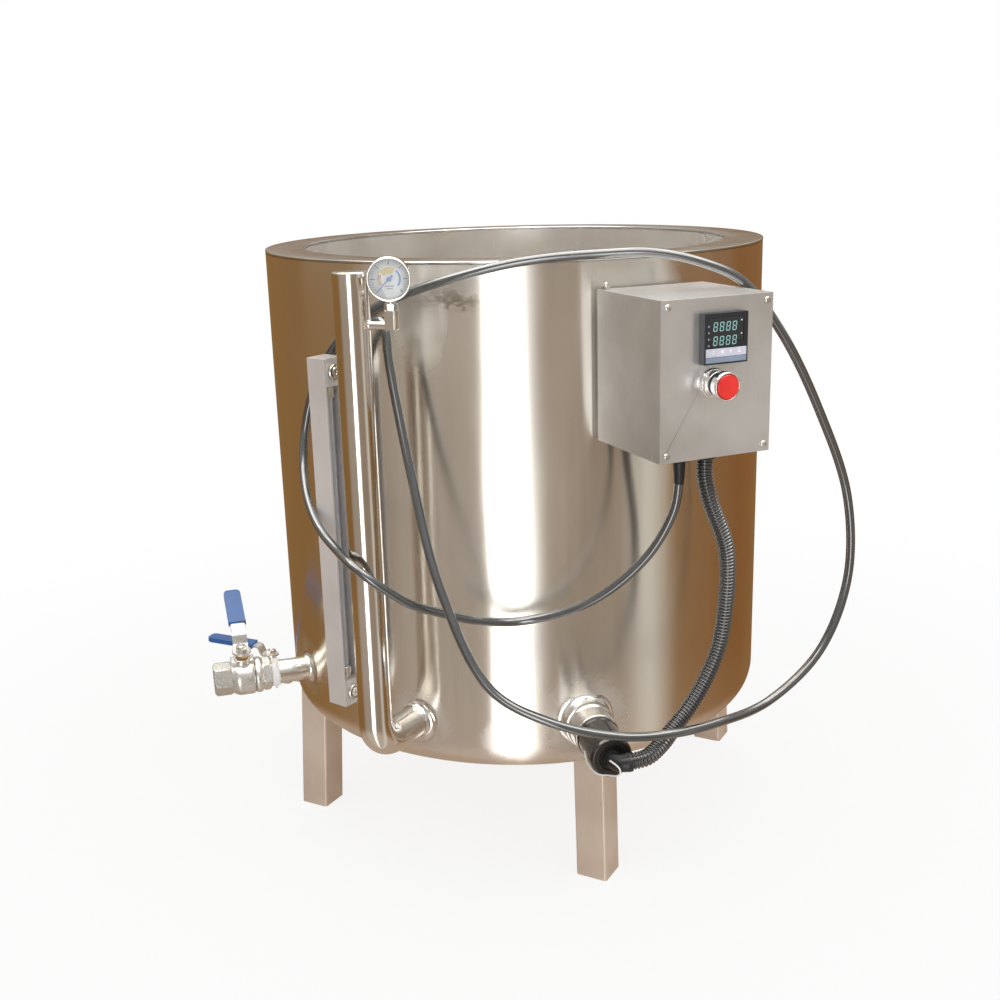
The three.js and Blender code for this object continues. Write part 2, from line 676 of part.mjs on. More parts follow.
function makeDrainPipe() {
  const corners = [
    new THREE.Vector3(0, 0, pot.floor), new THREE.Vector3(0, 0, drain.height),
    drainKink, alongDrain(drainThreadEnd),
  ];
  const elbowPart = roundedRoute(corners.slice(0, 3), drain.bendRadius, drain.bendSteps);
  const kinkPart = roundedRoute(corners.slice(1), drain.kinkRadius, drain.kinkSteps);
  const stations = [...elbowPart.slice(0, -1), ...kinkPart.slice(1)];
  const pipe = sweep(stations, drain.outerRadius, drain.innerRadius, drain.sides);
  const weld = ring(drain.outerRadius - fit.gap, drain.weldRadius, drain.weldThickness, drain.sides)
    .rotateX(quarterTurn)
    .translate(0, -tank.outerRadius - fit.gap, drain.height)
    .rotateZ(radians(drain.azimuth));
  return join(pipe, weld);
}

addPiece(assembly, 'pot_drain_pipe', makeDrainPipe(), polishedSteel);

addValve(drainValve, drainLever, {
  body: 'drain_valve_body', end: 'drain_valve_end', ball: 'drain_valve_ball', packing: 'drain_packing_nut',
  lever: 'drain_lever', grip: 'drain_lever_grip', nut: 'drain_lever_nut',
}, alongDrain(drain.valveReach), drain.valveAzimuth, drain);

// Jacket drain: down from the tank's bottom, then outwards to the second valve

function makeJacketDrainPipe() {
  const end = jacketValveDistance - valveInlet(jacketValve) + jacketDrain.threadLength;
  const corners = [
    place(jacketDrain.azimuth, jacketSocketRadius, tank.bottom + tank.wall),
    place(jacketDrain.azimuth, jacketSocketRadius, jacketDrain.height),
    place(jacketDrain.azimuth, end, jacketDrain.height),
  ];
  const stations = roundedRoute(corners, jacketDrain.bendRadius, jacketDrain.bendSteps);
  const pipe = sweep(stations, jacketDrain.outerRadius, jacketDrain.innerRadius, jacketDrain.sides);
  const weldPlace = place(
    jacketDrain.azimuth, jacketSocketRadius, tank.bottom - fit.gap - jacketDrain.weldThickness,
  );
  const weld = ring(
    jacketDrain.outerRadius - fit.gap, jacketDrain.weldRadius, jacketDrain.weldThickness, jacketDrain.sides,
  ).translate(...weldPlace);
  return join(pipe, weld);
}

addPiece(assembly, 'jacket_drain_pipe', makeJacketDrainPipe(), brushedSteel);

const jacketValvePlace = place(jacketDrain.azimuth, jacketValveDistance, jacketDrain.height);
addValve(jacketValve, jacketLever, {
  body: 'jacket_valve_body', ball: 'jacket_valve_ball', lever: 'jacket_lever', grip: 'jacket_lever_grip',
  nut: 'jacket_lever_nut',
}, jacketValvePlace, jacketDrain.azimuth, jacketDrain);

// Standpipe: out of the jacket near the bottom, up beside the tank, with a branch for the dial gauge

const gaugeFoot = place(standpipe.azimuth, standpipeDistance, branchHeight)
  .addScaledVector(outward(branch.azimuth), branch.reach);

function makeStandpipe() {
  const upTo = (height) => place(standpipe.azimuth, standpipeDistance, height);
  const corners = [stubStart, stubCorner, upTo(standpipe.top)];
  const boreCorners = [beforeStub, stubCorner, upTo(standpipe.top - standpipe.capThickness)];
  const route = (points) => roundedRoute(points, standpipe.bendRadius, standpipe.bendSteps);
  const pipe = sweep(route(corners), standpipe.outerRadius, 0, standpipe.sides);
  const bore = sweep(route(boreCorners), standpipe.innerRadius, 0, standpipe.boreSides);
  const weld = ring(
    standpipe.outerRadius - fit.gap, standpipe.weldRadius, standpipe.weldThickness, standpipe.sides,
  )
    .rotateX(quarterTurn)
    .translate(0, -tank.outerRadius - fit.gap, standpipe.stubHeight)
    .rotateZ(radians(standpipe.weldAzimuth));
  const along = (radius, reach) => facingOut(rod(radius, reach, branch.sides))
    .rotateZ(radians(branch.azimuth))
    .translate(...place(standpipe.azimuth, standpipeDistance, branchHeight));
  const gaugeBlock = block(branch.blockWidth, branch.blockWidth, branch.blockHeight)
    .rotateZ(radians(branch.azimuth))
    .translate(gaugeFoot.x, gaugeFoot.y, branchHeight - branch.blockBelow);
  const socket = rod(dialGauge.stemRadius + fit.gap, branch.socketDepth + fit.overrun, branch.sides)
    .translate(gaugeFoot.x, gaugeFoot.y, branchTop - branch.socketDepth);
  const riser = rod(branch.bore, branchTop - branchHeight, branch.sides).translate(...gaugeFoot);
  return cut(
    join(pipe, weld, along(branch.radius, branch.reach), gaugeBlock),
    bore, along(branch.bore, branch.reach), socket, riser,
  );
}

addPiece(assembly, 'standpipe', makeStandpipe(), polishedSteel);

// Dial gauge on the branch. Its group turns so that +Z faces out of the dial

const gaugeGroup = new THREE.Group();
gaugeGroup.position.set(gaugeFoot.x, gaugeFoot.y, dialHeight);
gaugeGroup.rotation.set(quarterTurn, 0, radians(dialGauge.facing), 'ZYX');
assembly.add(gaugeGroup);

const gaugeFront = dialGauge.caseDepth - dialGauge.behindAxis;
const gaugeBore = dialGauge.caseRadius - dialGauge.wall;
const dialFront = gaugeFront - dialGauge.dialInset;

function makeGaugeCase() {
  const back = -dialGauge.behindAxis;
  const cup = turned([
    [0, back], [dialGauge.caseRadius, back], [dialGauge.caseRadius, gaugeFront - dialGauge.bezelDepth],
    [dialGauge.bezelRadius, gaugeFront - dialGauge.bezelDepth], [dialGauge.bezelRadius, gaugeFront],
    [gaugeBore, gaugeFront], [gaugeBore, back + dialGauge.wall], [0, back + dialGauge.wall],
  ], dialGauge.sides);
  const nutTop = branchTop + fit.gap + dialGauge.nutHeight;
  const stemBottom = branchTop - branch.socketDepth + fit.gap;
  const stemTop = dialHeight - gaugeBore - fit.gap;
  const fitting = join(
    rod(dialGauge.stemRadius, stemTop - stemBottom, branch.sides)
      .translate(0, 0, stemBottom - dialHeight),
    hexRod(dialGauge.nutAcross, dialGauge.nutHeight)
      .translate(0, 0, nutTop - dialGauge.nutHeight - dialHeight),
  ).rotateX(-quarterTurn);
  return join(cup, fitting);
}

function makeNeedle() {
  const bladeLength = dialGauge.needleLength + dialGauge.needleTail;
  const bladeMiddle = (dialGauge.needleLength - dialGauge.needleTail) / 2;
  const blade = block(dialGauge.needleWidth, bladeLength, dialGauge.needleThickness)
    .translate(0, bladeMiddle, dialGauge.hubDepth - dialGauge.needleThickness);
  const hub = rod(dialGauge.hubRadius, dialGauge.hubDepth, branch.sides);
  const pivotLength = dialGauge.dialThickness + dialGauge.hubDepth;
  const pivot = rod(dialGauge.pivotRadius, pivotLength, branch.sides)
    .translate(0, 0, dialGauge.hubDepth / 2 - pivotLength);
  return join(blade, hub, pivot)
    .rotateZ(radians(dialGauge.restAngle))
    .translate(0, 0, dialFront + fit.gap);
}

const dialRadius = gaugeBore - fit.gap;
const dial = ring(dialGauge.pivotRadius + fit.gap, dialRadius, dialGauge.dialThickness, dialGauge.sides)
  .translate(0, 0, dialFront - dialGauge.dialThickness);
const glass = rod(dialRadius, dialGauge.glassThickness, dialGauge.sides)
  .translate(0, 0, gaugeFront - dialGauge.glassInset - dialGauge.glassThickness);
addPiece(gaugeGroup, 'gauge_case', makeGaugeCase(), polishedSteel);
addPiece(gaugeGroup, 'gauge_dial', dial, whitePlastic);
addPiece(gaugeGroup, 'gauge_needle', makeNeedle(), blackPlastic);
addPiece(gaugeGroup, 'gauge_glass', glass, clearGlass);

// Level gauge: a channel open to +X that shields a glass tube between two ported blocks

const levelGroup = station(assembly, level.azimuth, 0, 0);
const levelMiddle = levelReach - level.depth / 2;
const levelPorts = { top: level.top - level.boltDrop, bottom: level.bottom + level.boltDrop };

function slab(fromX, toX, fromReach, toReach, fromZ, toZ) {
  return block(toX - fromX, toReach - fromReach, toZ - fromZ)
    .translate((fromX + toX) / 2, -(fromReach + toReach) / 2, fromZ);
}

function makeLevelChannel() {
  const half = level.width / 2;
  const innerReach = levelReach - level.depth;
  const bar = slab(-half, half, innerReach, levelReach, level.bottom, level.top);
  const hollow = slab(
    level.wall - half, half + fit.overrun, innerReach + level.wall, levelReach - level.wall,
    level.bottom - fit.overrun, level.top + fit.overrun,
  );
  const holes = Object.values(levelPorts).map((height) => radialTool(
    0, height, level.nippleRadius + fit.gap, innerReach - fit.overrun, levelMiddle, level.sides,
  ));
  return cut(bar, hollow, ...holes);
}

// A block with its nipple into the jacket; towards is 1 where the glass tube stands above it
function makeLevelBlock(port, towards) {
  const half = level.width / 2;
  const innerReach = levelReach - level.depth;
  const body = slab(
    level.wall + fit.gap - half, half, innerReach + level.wall + fit.gap,
    levelReach - level.wall - fit.gap, port - level.boltDrop, port - level.boltDrop + level.blockHeight,
  );
  const nipple = radialTool(0, port, level.nippleRadius, nippleInner, levelMiddle, level.sides);
  const passage = radialTool(
    0, port, level.nippleBore, nippleInner - fit.overrun, levelMiddle, level.sides,
  );
  const face = port + towards * (level.blockHeight - level.boltDrop);
  const upright = (radius, depth) => {
    const low = towards > 0 ? face - depth : face - fit.overrun;
    return rod(radius, depth + fit.overrun, level.sides).translate(0, -levelMiddle, low);
  };
  const boltHole = rod(level.boltShank + fit.gap, level.boltReach + fit.gap + fit.overrun, level.sides)
    .rotateY(quarterTurn)
    .translate(half - level.boltReach - fit.gap, -levelMiddle, port);
  return cut(
    join(body, nipple), passage, boltHole,
    upright(level.nippleBore, Math.abs(face - port)),
    upright(level.tubeRadius + fit.gap, level.tubeInset + fit.gap),
  );
}

// A bolt in the block's open side, its head on that face
function makeLevelBolt(port) {
  const head = domedRod(level.boltRadius, level.boltHead, level.boltHead / 4, level.boltSides);
  const shank = rod(level.boltShank, level.boltReach + fit.gap, level.sides)
    .translate(0, 0, -level.boltReach);
  return join(head, shank)
    .rotateY(quarterTurn)
    .translate(level.width / 2 + fit.gap, -levelMiddle, port);
}

function makeSightGlass() {
  const low = level.bottom + level.blockHeight - level.tubeInset;
  const high = level.top - level.blockHeight + level.tubeInset;
  return ring(level.tubeRadius - level.tubeWall, level.tubeRadius, high - low, level.sides)
    .translate(0, -levelMiddle, low);
}

addPiece(levelGroup, 'level_channel', makeLevelChannel(), aluminium);
addPiece(levelGroup, 'level_top_block', makeLevelBlock(levelPorts.top, -1), aluminium);
addPiece(levelGroup, 'level_bottom_block', makeLevelBlock(levelPorts.bottom, 1), aluminium);
addPiece(levelGroup, 'level_top_bolt', makeLevelBolt(levelPorts.top), polishedSteel);
addPiece(levelGroup, 'level_bottom_bolt', makeLevelBolt(levelPorts.bottom), polishedSteel);
addPiece(levelGroup, 'sight_glass', makeSightGlass(), clearGlass);

// Heater: a socket welded into the jacket, the element in it, and a cap over its terminals

const heaterGroup = station(assembly, heater.azimuth, 0, heater.height);
const alongReach = (geometry, reach) => facingOut(geometry).translate(0, -reach, 0);

function makeHeaterSocket() {
  const length = socketOuter - socketInner;
  const sleeve = alongReach(rod(heater.socketRadius, length, heater.sides), socketInner);
  const weld = alongReach(
    rod(heater.weldRadius, heater.weldThickness, heater.sides, heater.socketRadius + fit.gap),
    tank.outerRadius + fit.gap,
  );
  const bore = alongReach(
    rod(heater.socketBore, length + 2 * fit.overrun, heater.sides), socketInner - fit.overrun,
  );
  return cut(join(sleeve, weld), bore);
}

// Two hairpin rods in one screwed plug, with a terminal for each rod end
function makeHeatingElement() {
  const plugBody = alongReach(
    rod(heater.plugRadius, plugOuter - plugInner, heater.sides), plugInner,
  );
  const sides = [-1, 1];
  const hairpins = sides.map((side) => {
    const x = side * heater.rodGap;
    const spread = heater.rodSpread;
    const corners = [
      new THREE.Vector3(x, -plugInner - fit.overrun, -spread),
      new THREE.Vector3(x, -heater.rodReach, -spread),
      new THREE.Vector3(x, -heater.rodReach, spread),
      new THREE.Vector3(x, -plugInner - fit.overrun, spread),
    ];
    const stations = roundedRoute(corners, spread - fit.gap, heater.rodSteps);
    return sweep(stations, heater.rodRadius, 0, heater.rodSides);
  });
  const terminals = sides.flatMap((x) => sides.map((z) => (
    alongReach(
      rod(heater.terminalRadius, heater.terminalLength + fit.overrun, heater.rodSides),
      plugOuter - fit.overrun,
    )
      .translate(x * heater.terminalSpacing, 0, z * heater.terminalSpacing)
  )));
  return join(plugBody, ...hairpins, ...terminals);
}

function makeTerminalCap() {
  const base = socketOuter + fit.gap;
  const length = capOuter - base;
  const shell = turned([
    [0, 0], [heater.capRadius, 0], [heater.capRadius, length - heater.capChamfer],
    [heater.capRadius - heater.capChamfer, length], [0, length],
  ], heater.sides);
  const hollow = rod(heater.capRadius - heater.capWall, length - heater.capWall + fit.overrun, heater.sides)
    .translate(0, 0, -fit.overrun);
  const hole = rod(elbow.outerRadius + fit.gap, length + fit.overrun, elbow.sides);
  return alongReach(cut(shell, hollow, hole), base);
}

// The sleeve that turns from the cap's front to the side, where the conduit goes on
const elbowCorner = place(heater.azimuth, capOuter + elbow.cornerReach, heater.height);
const elbowWay = sideways(heater.azimuth).multiplyScalar(Math.cos(radians(elbow.tilt)))
  .setZ(Math.sin(radians(elbow.tilt)));
const elbowOutlet = elbowCorner.clone().addScaledVector(elbowWay, elbow.outletReach);

function makeCapElbow() {
  const corners = [
    place(heater.azimuth, capOuter - heater.capWall + fit.gap, heater.height),
    elbowCorner, elbowOutlet,
  ];
  return sweep(
    roundedRoute(corners, elbow.bendRadius, elbow.bendSteps), elbow.outerRadius, elbow.innerRadius,
    elbow.sides,
  );
}

addPiece(heaterGroup, 'heater_socket', makeHeaterSocket(), polishedSteel);
addPiece(heaterGroup, 'heating_element', makeHeatingElement(), brushedSteel);
addPiece(heaterGroup, 'terminal_cap', makeTerminalCap(), blackPlastic);
addPiece(assembly, 'cap_elbow', makeCapElbow(), blackRubber);

// Control box. Its group sits on the tank axis: X across, -Y outwards, Z up

const boxGroup = station(assembly, box.azimuth, 0, 0);
const coverBack = boxFront + fit.gap;
const coverFront = coverBack + box.coverThickness;
const panelFace = coverFront + fit.gap;
const spacerLength = boxBack - fit.gap - plateBack - box.plateThickness;
const plateEdges = {
  left: box.left + box.plateMargin, right: box.right - box.plateMargin,
  bottom: box.bottom + box.plateMargin, top: boxTop - box.plateMargin,
};

function makeMountingPlate() {
  const { left, right, bottom, top } = plateEdges;
  const plate = slab(left, right, plateBack, plateBack + box.plateThickness, bottom, top);
  const spacers = [left + box.spacerInset, right - box.spacerInset].flatMap((x) => (
    [bottom + box.spacerInset, top - box.spacerInset].map((z) => (
      alongReach(rod(box.spacerRadius, box.plateThickness + spacerLength, box.spacerSides), plateBack)
        .translate(x, 0, z)
    ))
  ));
  const probeHole = radialTool(
    0, probeHeight, probe.radius + fit.gap, plateBack - fit.overrun, boxBack + fit.overrun, probe.sides,
  );
  return cut(join(plate, ...spacers), probeHole);
}

const screwPlaces = [
  ['cover_screw_top_left', box.left + screw.inset, boxTop - screw.inset],
  ['cover_screw_top_right', box.right - screw.inset, boxTop - screw.inset],
  ['cover_screw_bottom_left', box.left + screw.inset, box.bottom + screw.inset],
  ['cover_screw_bottom_right', box.right - screw.inset, box.bottom + screw.inset],
];
const screwHoles = screwPlaces.map(([, x, z]) => (
  radialTool(0, 0, screw.shankRadius + fit.gap, boxFront - screw.shankLength, panelFace, screw.sides)
    .translate(x, 0, z)
));

function makeBoxBody() {
  const outer = slab(box.left, box.right, boxBack, boxFront, box.bottom, boxTop);
  const hollow = slab(
    box.left + box.wall, box.right - box.wall, boxBack + box.wall, boxFront - box.wall,
    box.bottom + box.wall, boxTop - box.wall,
  );
  const mouth = slab(
    box.left + box.flange, box.right - box.flange, boxBack + box.wall, boxFront + fit.overrun,
    box.bottom + box.flange, boxTop - box.flange,
  );
  const glandHoles = [cableGland, conduitGland].map((gland) => (
    rod(gland.threadRadius + fit.gap, box.wall + 2 * fit.overrun, glands.sides)
      .translate(gland.centreX, -glandDistance, box.bottom - fit.overrun)
  ));
  const probeHole = radialTool(
    0, probeHeight, probe.radius + fit.gap, boxBack - fit.overrun, boxBack + fit.overrun, probe.sides,
  );
  return cut(outer, hollow, mouth, ...glandHoles, ...screwHoles, probeHole);
}

function squareSlab(size, fromReach, toReach) {
  const half = size / 2;
  return slab(
    controller.centreX - half, controller.centreX + half, fromReach, toReach,
    controllerHeight - half, controllerHeight + half,
  );
}

function makeCover() {
  const sheet = slab(box.left, box.right, coverBack, coverFront, box.bottom, boxTop);
  const window = squareSlab(
    controller.bodySize + 2 * fit.gap, coverBack - fit.overrun, coverFront + fit.overrun,
  );
  const buttonHole = radialTool(
    0, buttonHeight, button.bodyRadius + fit.gap, coverBack - fit.overrun, coverFront + fit.overrun,
    button.sides,
  ).translate(button.centreX, 0, 0);
  return cut(sheet, window, buttonHole, ...screwHoles);
}

function makeScrew() {
  const head = domedRod(screw.headRadius, screw.headHeight, screw.headHeight / 2, screw.sides);
  const shank = rod(screw.shankRadius, screw.shankLength + screw.headHeight / 2, screw.sides)
    .translate(0, 0, -screw.shankLength);
  const slot = block(2 * screw.headRadius, screw.slotWidth, screw.headHeight)
    .translate(0, 0, screw.headHeight - screw.slotDepth);
  return alongReach(cut(join(head, shank), slot, slot.clone().rotateZ(quarterTurn)), panelFace);
}

addPiece(boxGroup, 'box_mounting_plate', makeMountingPlate(), brushedSteel);
addPiece(boxGroup, 'box_body', makeBoxBody(), brushedSteel);
addPiece(boxGroup, 'box_cover', makeCover(), brushedSteel);
screwPlaces.forEach(([name, x, z]) => {
  addPiece(boxGroup, name, makeScrew(), brushedSteel).position.set(x, 0, z);
});

// Temperature probe: out of the box, through its plate and the shell, into the jacket

function makeProbe() {
  const seat = boxBack + box.wall + fit.gap;
  const stem = rod(probe.radius, seat + probe.headLength / 2 - probeInner, probe.sides)
    .translate(0, 0, probeInner);
  const head = hexRod(2 * probe.headRadius, probe.headLength).translate(0, 0, seat);
  return facingOut(join(stem, head)).translate(0, 0, probeHeight);
}

addPiece(boxGroup, 'temperature_probe', makeProbe(), polishedSteel);

// Temperature controller with its window and a row of keys

const controllerFace = panelFace + controller.bezelDepth;
const windowHeight = controllerHeight + controller.windowRise;
const keyHeight = controllerHeight - controller.keyDrop;
const keyPlaces = ['set', 'shift', 'down', 'up'].map((use, i, all) => (
  [`controller_key_${use}`, controller.centreX + (i - (all.length - 1) / 2) * controller.keyPitch]
));
const keyBottom = controllerFace + controller.keyProud - controller.keyDepth;

function centredSlab(x, z, width, height, fromReach, toReach) {
  return slab(x - width / 2, x + width / 2, fromReach, toReach, z - height / 2, z + height / 2);
}

function makeControllerBody() {
  const bezel = squareSlab(controller.size, panelFace, controllerFace);
  const rear = squareSlab(controller.bodySize, panelFace - controller.bodyDepth, panelFace + fit.overrun);
  const windowPocket = centredSlab(
    controller.centreX, windowHeight,
    controller.windowWidth + 2 * fit.gap, controller.windowHeight + 2 * fit.gap,
    controllerFace - controller.windowDepth - fit.gap, controllerFace + fit.overrun,
  );
  const keyPockets = keyPlaces.map(([, x]) => centredSlab(
    x, keyHeight, controller.keyWidth + 2 * fit.gap, controller.keyHeight + 2 * fit.gap,
    keyBottom - controller.keyTravel - fit.gap, controllerFace + fit.overrun,
  ));
  return cut(join(bezel, rear), windowPocket, ...keyPockets);
}

const controllerWindow = centredSlab(
  controller.centreX, windowHeight, controller.windowWidth, controller.windowHeight,
  controllerFace - controller.windowDepth, controllerFace,
);
addPiece(boxGroup, 'controller_body', makeControllerBody(), blackPlastic);
addPiece(boxGroup, 'controller_window', controllerWindow, darkWindow);
keyPlaces.forEach(([name, x]) => {
  const key = centredSlab(
    x, keyHeight, controller.keyWidth, controller.keyHeight, keyBottom, controllerFace + controller.keyProud,
  );
  addPiece(boxGroup, name, key, greyPlastic);
});

// Push button: a holder through the cover, a sprung cap in it and a contact block behind

const buttonGroup = new THREE.Group();
buttonGroup.position.set(button.centreX, 0, buttonHeight);
boxGroup.add(buttonGroup);
const neckFront = panelFace + button.baseDepth + button.neckDepth;
const headFront = neckFront + button.headDepth;
const barrelBack = panelFace - button.bodyDepth;
const capFace = headFront + button.capProud;

function makeButtonHolder() {
  const base = alongReach(rod(button.baseRadius, button.baseDepth, button.sides), panelFace);
  const neck = alongReach(
    rod(button.neckRadius, button.neckDepth + button.baseDepth, button.sides), panelFace,
  );
  const head = alongReach(rod(button.headRadius, button.headDepth, button.sides), neckFront);
  const barrel = alongReach(
    rod(button.bodyRadius, button.bodyDepth + button.baseDepth, button.sides), barrelBack,
  );
  const well = alongReach(
    rod(button.capRadius + fit.gap, button.capDepth + button.travel + fit.overrun, button.sides),
    capFace - button.capDepth - button.travel - fit.running,
  );
  const shaft = alongReach(
    rod(button.plungerRadius + fit.gap, headFront - barrelBack + fit.overrun, button.sides),
    barrelBack - fit.overrun,
  );
  return cut(join(base, neck, head, barrel), well, shaft);
}

function makeButtonCap() {
  const cap = alongReach(rod(button.capRadius, button.capDepth, button.sides), capFace - button.capDepth);
  const plungerLength = capFace - barrelBack - button.travel - fit.running;
  return join(
    cap, alongReach(rod(button.plungerRadius, plungerLength, button.sides), capFace - plungerLength),
  );
}

function makeContactBlock() {
  const front = barrelBack - fit.gap;
  return centredSlab(0, 0, button.blockWidth, button.blockHeight, front - button.blockDepth, front);
}

addPiece(buttonGroup, 'button_holder', makeButtonHolder(), polishedSteel);
addPiece(buttonGroup, 'button_cap', makeButtonCap(), redPlastic);
addPiece(buttonGroup, 'contact_block', makeContactBlock(), blackPlastic);

// Power relay and terminal block on the box's back wall

const boxFloor = boxBack + box.wall + fit.gap;

function makeRelay() {
  const half = relay.width / 2;
  return slab(
    relay.centreX - half, relay.centreX + half, boxFloor, boxFloor + relay.depth,
    relayBottom, relayBottom + relay.height,
  );
}

function makeTerminalBlock() {
  const half = terminals.width / 2;
  const top = terminalsBottom + terminals.height;
  const bar = slab(
    terminals.centreX - half, terminals.centreX + half, boxFloor, boxFloor + terminals.depth,
    terminalsBottom, top,
  );
  const pitch = terminals.width / terminals.ways;
  const slots = Array.from({ length: terminals.ways }, (_, i) => {
    const x = terminals.centreX + (i - (terminals.ways - 1) / 2) * pitch;
    const halfSlot = terminals.slotWidth / 2;
    return slab(
      x - halfSlot, x + halfSlot, boxFloor + terminals.depth - terminals.slotDepth,
      boxFloor + terminals.depth + fit.overrun, terminalsBottom - fit.overrun, top + fit.overrun,
    );
  });
  return cut(bar, ...slots);
}

addPiece(boxGroup, 'power_relay', makeRelay(), blackPlastic);
addPiece(boxGroup, 'terminal_block', makeTerminalBlock(), whitePlastic);

// Glands in the box's bottom: thread through the wall, flange below it, nut above and nose

function makeGland(gland) {
  const flangeTop = box.bottom - fit.gap;
  const noseBottom = flangeTop - glands.flangeHeight - glands.noseHeight;
  const thread = rod(
    gland.threadRadius, fit.gap + box.wall + glands.insideHeight + glands.flangeHeight, glands.sides,
  ).translate(0, 0, flangeTop - glands.flangeHeight);
  const flange = hexRod(2 * gland.flangeRadius, glands.flangeHeight)
    .translate(0, 0, flangeTop - glands.flangeHeight);
  const nose = rod(gland.noseRadius, glands.noseHeight + glands.flangeHeight, glands.sides)
    .translate(0, 0, noseBottom);
  const bore = rod(gland.bore, boxTop - noseBottom, glands.sides).translate(0, 0, noseBottom - fit.overrun);
  return cut(join(thread, flange, nose), bore);
}

[cableGland, conduitGland].forEach((gland) => {
  addPiece(boxGroup, gland.name, makeGland(gland), blackPlastic).position.set(
    gland.centreX, -glandDistance, 0,
  );
});

// Plug on the end of the supply cable, hanging behind the level gauge with its pins down

function makePlug() {
  const half = plug.width / 2 - plug.corner;
  const depth = plug.thickness / 2 - plug.corner;
  const outline = new THREE.Shape();
  outline.absarc(half, depth, plug.corner, 0, quarterTurn, false);
  outline.absarc(-half, depth, plug.corner, quarterTurn, 2 * quarterTurn, false);
  outline.absarc(-half, -depth, plug.corner, 2 * quarterTurn, 3 * quarterTurn, false);
  outline.absarc(half, -depth, plug.corner, 3 * quarterTurn, 4 * quarterTurn, false);
  outline.closePath();
  const body = new THREE.ExtrudeGeometry(outline, {
    depth: plug.length, bevelEnabled: false, curveSegments: plug.cornerSteps,
  }).translate(0, 0, -plug.neckLength - plug.length);
  const neck = rod(plug.neckRadius, plug.neckLength + fit.overrun, plug.sides, cable.radius)
    .translate(0, 0, -plug.neckLength - fit.overrun);
  const pins = [-1, 1].map((side) => (
    rod(plug.pinRadius, plug.pinLength + fit.overrun, plug.sides)
      .translate((side * plug.pinSpacing) / 2, 0, -plug.neckLength - plug.length - plug.pinLength)
  ));
  return join(body, neck, ...pins);
}

addPiece(station(assembly, plug.azimuth, plugDistance, plug.top), 'plug', makePlug(), blackRubber);

// Supply cable: from its gland round the tank, across the fronts of the standpipe and the level gauge, up
// behind them both, over the rim and the box, down in a wide loop across the heater's cap, and up under
// the dial gauge's branch, behind the standpipe and down to the plug

const noseBottom = box.bottom - fit.gap - glands.flangeHeight - glands.noseHeight;
const underGland = (gland) => boxGroup.localToWorld(
  new THREE.Vector3(gland.centreX, -glandDistance, noseBottom - fit.gap),
);
boxGroup.updateMatrixWorld();

const cableRoute = [
  [306.8, -237.5, 488.8], [301.7, -238.7, 458.3], [274.7, -245.4, 407.7], [219.1, -261, 357.1],
  [147.3, -282.9, 331.8], [114.4, -314.9, 338.6], [90.3, -342.3, 351.5], [66.9, -373, 369.8],
  [50.1, -389.9, 388], [36.2, -399.5, 401.5], [18.1, -401.2, 413.4], [-14.4, -379.7, 418.3],
  [-45, -362.7, 429.7], [-65.6, -350.4, 444.8], [-84.5, -334, 462.4], [-103, -311.4, 489],
  [-106.9, -299, 523.1], [-95.6, -296.5, 564], [-58.8, -300.1, 619.1], [-6.8, -306.6, 657.8],
  [62.7, -301.2, 685], [150.2, -270.4, 707.4], [220.7, -234.6, 713.4], [266.6, -212.2, 713.4],
  [308.4, -189.6, 703.2], [343.5, -165.9, 683.2], [375, -133.1, 630.4], [405.3, -89.1, 544.6],
  [432.3, -54.6, 441.1], [436.8, -56.5, 347.3], [418.7, -90.4, 273.9], [382.1, -151.4, 232.1],
  [348.3, -227.4, 230.9], [317.3, -276.7, 234], [274.8, -312.4, 237.7], [215.1, -351.4, 258.1],
  [158.3, -370.7, 290.8], [102.1, -366, 385.1], [57.5, -343.2, 499.8], [32, -335.5, 615.2],
  [28.1, -331.8, 638.8], [18.9, -326, 650.3], [1.8, -319, 646.7], [-14.4, -315.2, 628.5],
  [-30.2, -312, 595.6], [-48.8, -308.2, 488],
].map(([x, y, z]) => new THREE.Vector3(x, y, z));

// The steps run evenly over the route's points, which lie closer together where the cable bends more
function makeCable() {
  const extrudePath = new THREE.CatmullRomCurve3([
    underGland(cableGland), ...cableRoute, place(plug.azimuth, plugDistance, plug.top + fit.gap),
  ]);
  extrudePath.getUtoTmapping = (share) => share;
  const section = circle(cable.radius, cable.sides, new THREE.Shape());
  return closed(new THREE.ExtrudeGeometry(section, { steps: cable.steps, extrudePath }));
}

addPiece(assembly, 'supply_cable', makeCable(), blackRubber);

// Ribbed conduit from its gland to the cap's elbow: a crest ring and a root ring for each rib

const conduitRoute = [
  [325.2, -213.8, 492.8], [330.6, -210.8, 465.9], [345.2, -200.2, 413.6], [344.7, -197, 351.3],
  [340.1, -202.9, 306.8], [330.6, -217.9, 271.3], [319.7, -235.4, 245.6], [308.4, -256.3, 225.5],
  [304.2, -272.6, 217.4], [295.8, -291.4, 209.6],
].map(([x, y, z]) => new THREE.Vector3(x, y, z));

// A tube wall through rings of points about a curve, one radius for each ring
function ringsAlong(curve, frames, radii, sides) {
  const steps = radii.length - 1;
  return radii.flatMap((radius, i) => {
    const centre = curve.getPointAt(i / steps);
    const frame = Math.round((i / steps) * (frames.normals.length - 1));
    return Array.from({ length: sides }, (_, k) => {
      const angle = (2 * Math.PI * k) / sides;
      return centre.clone()
        .addScaledVector(frames.normals[frame], radius * Math.cos(angle))
        .addScaledVector(frames.binormals[frame], radius * Math.sin(angle));
    });
  });
}

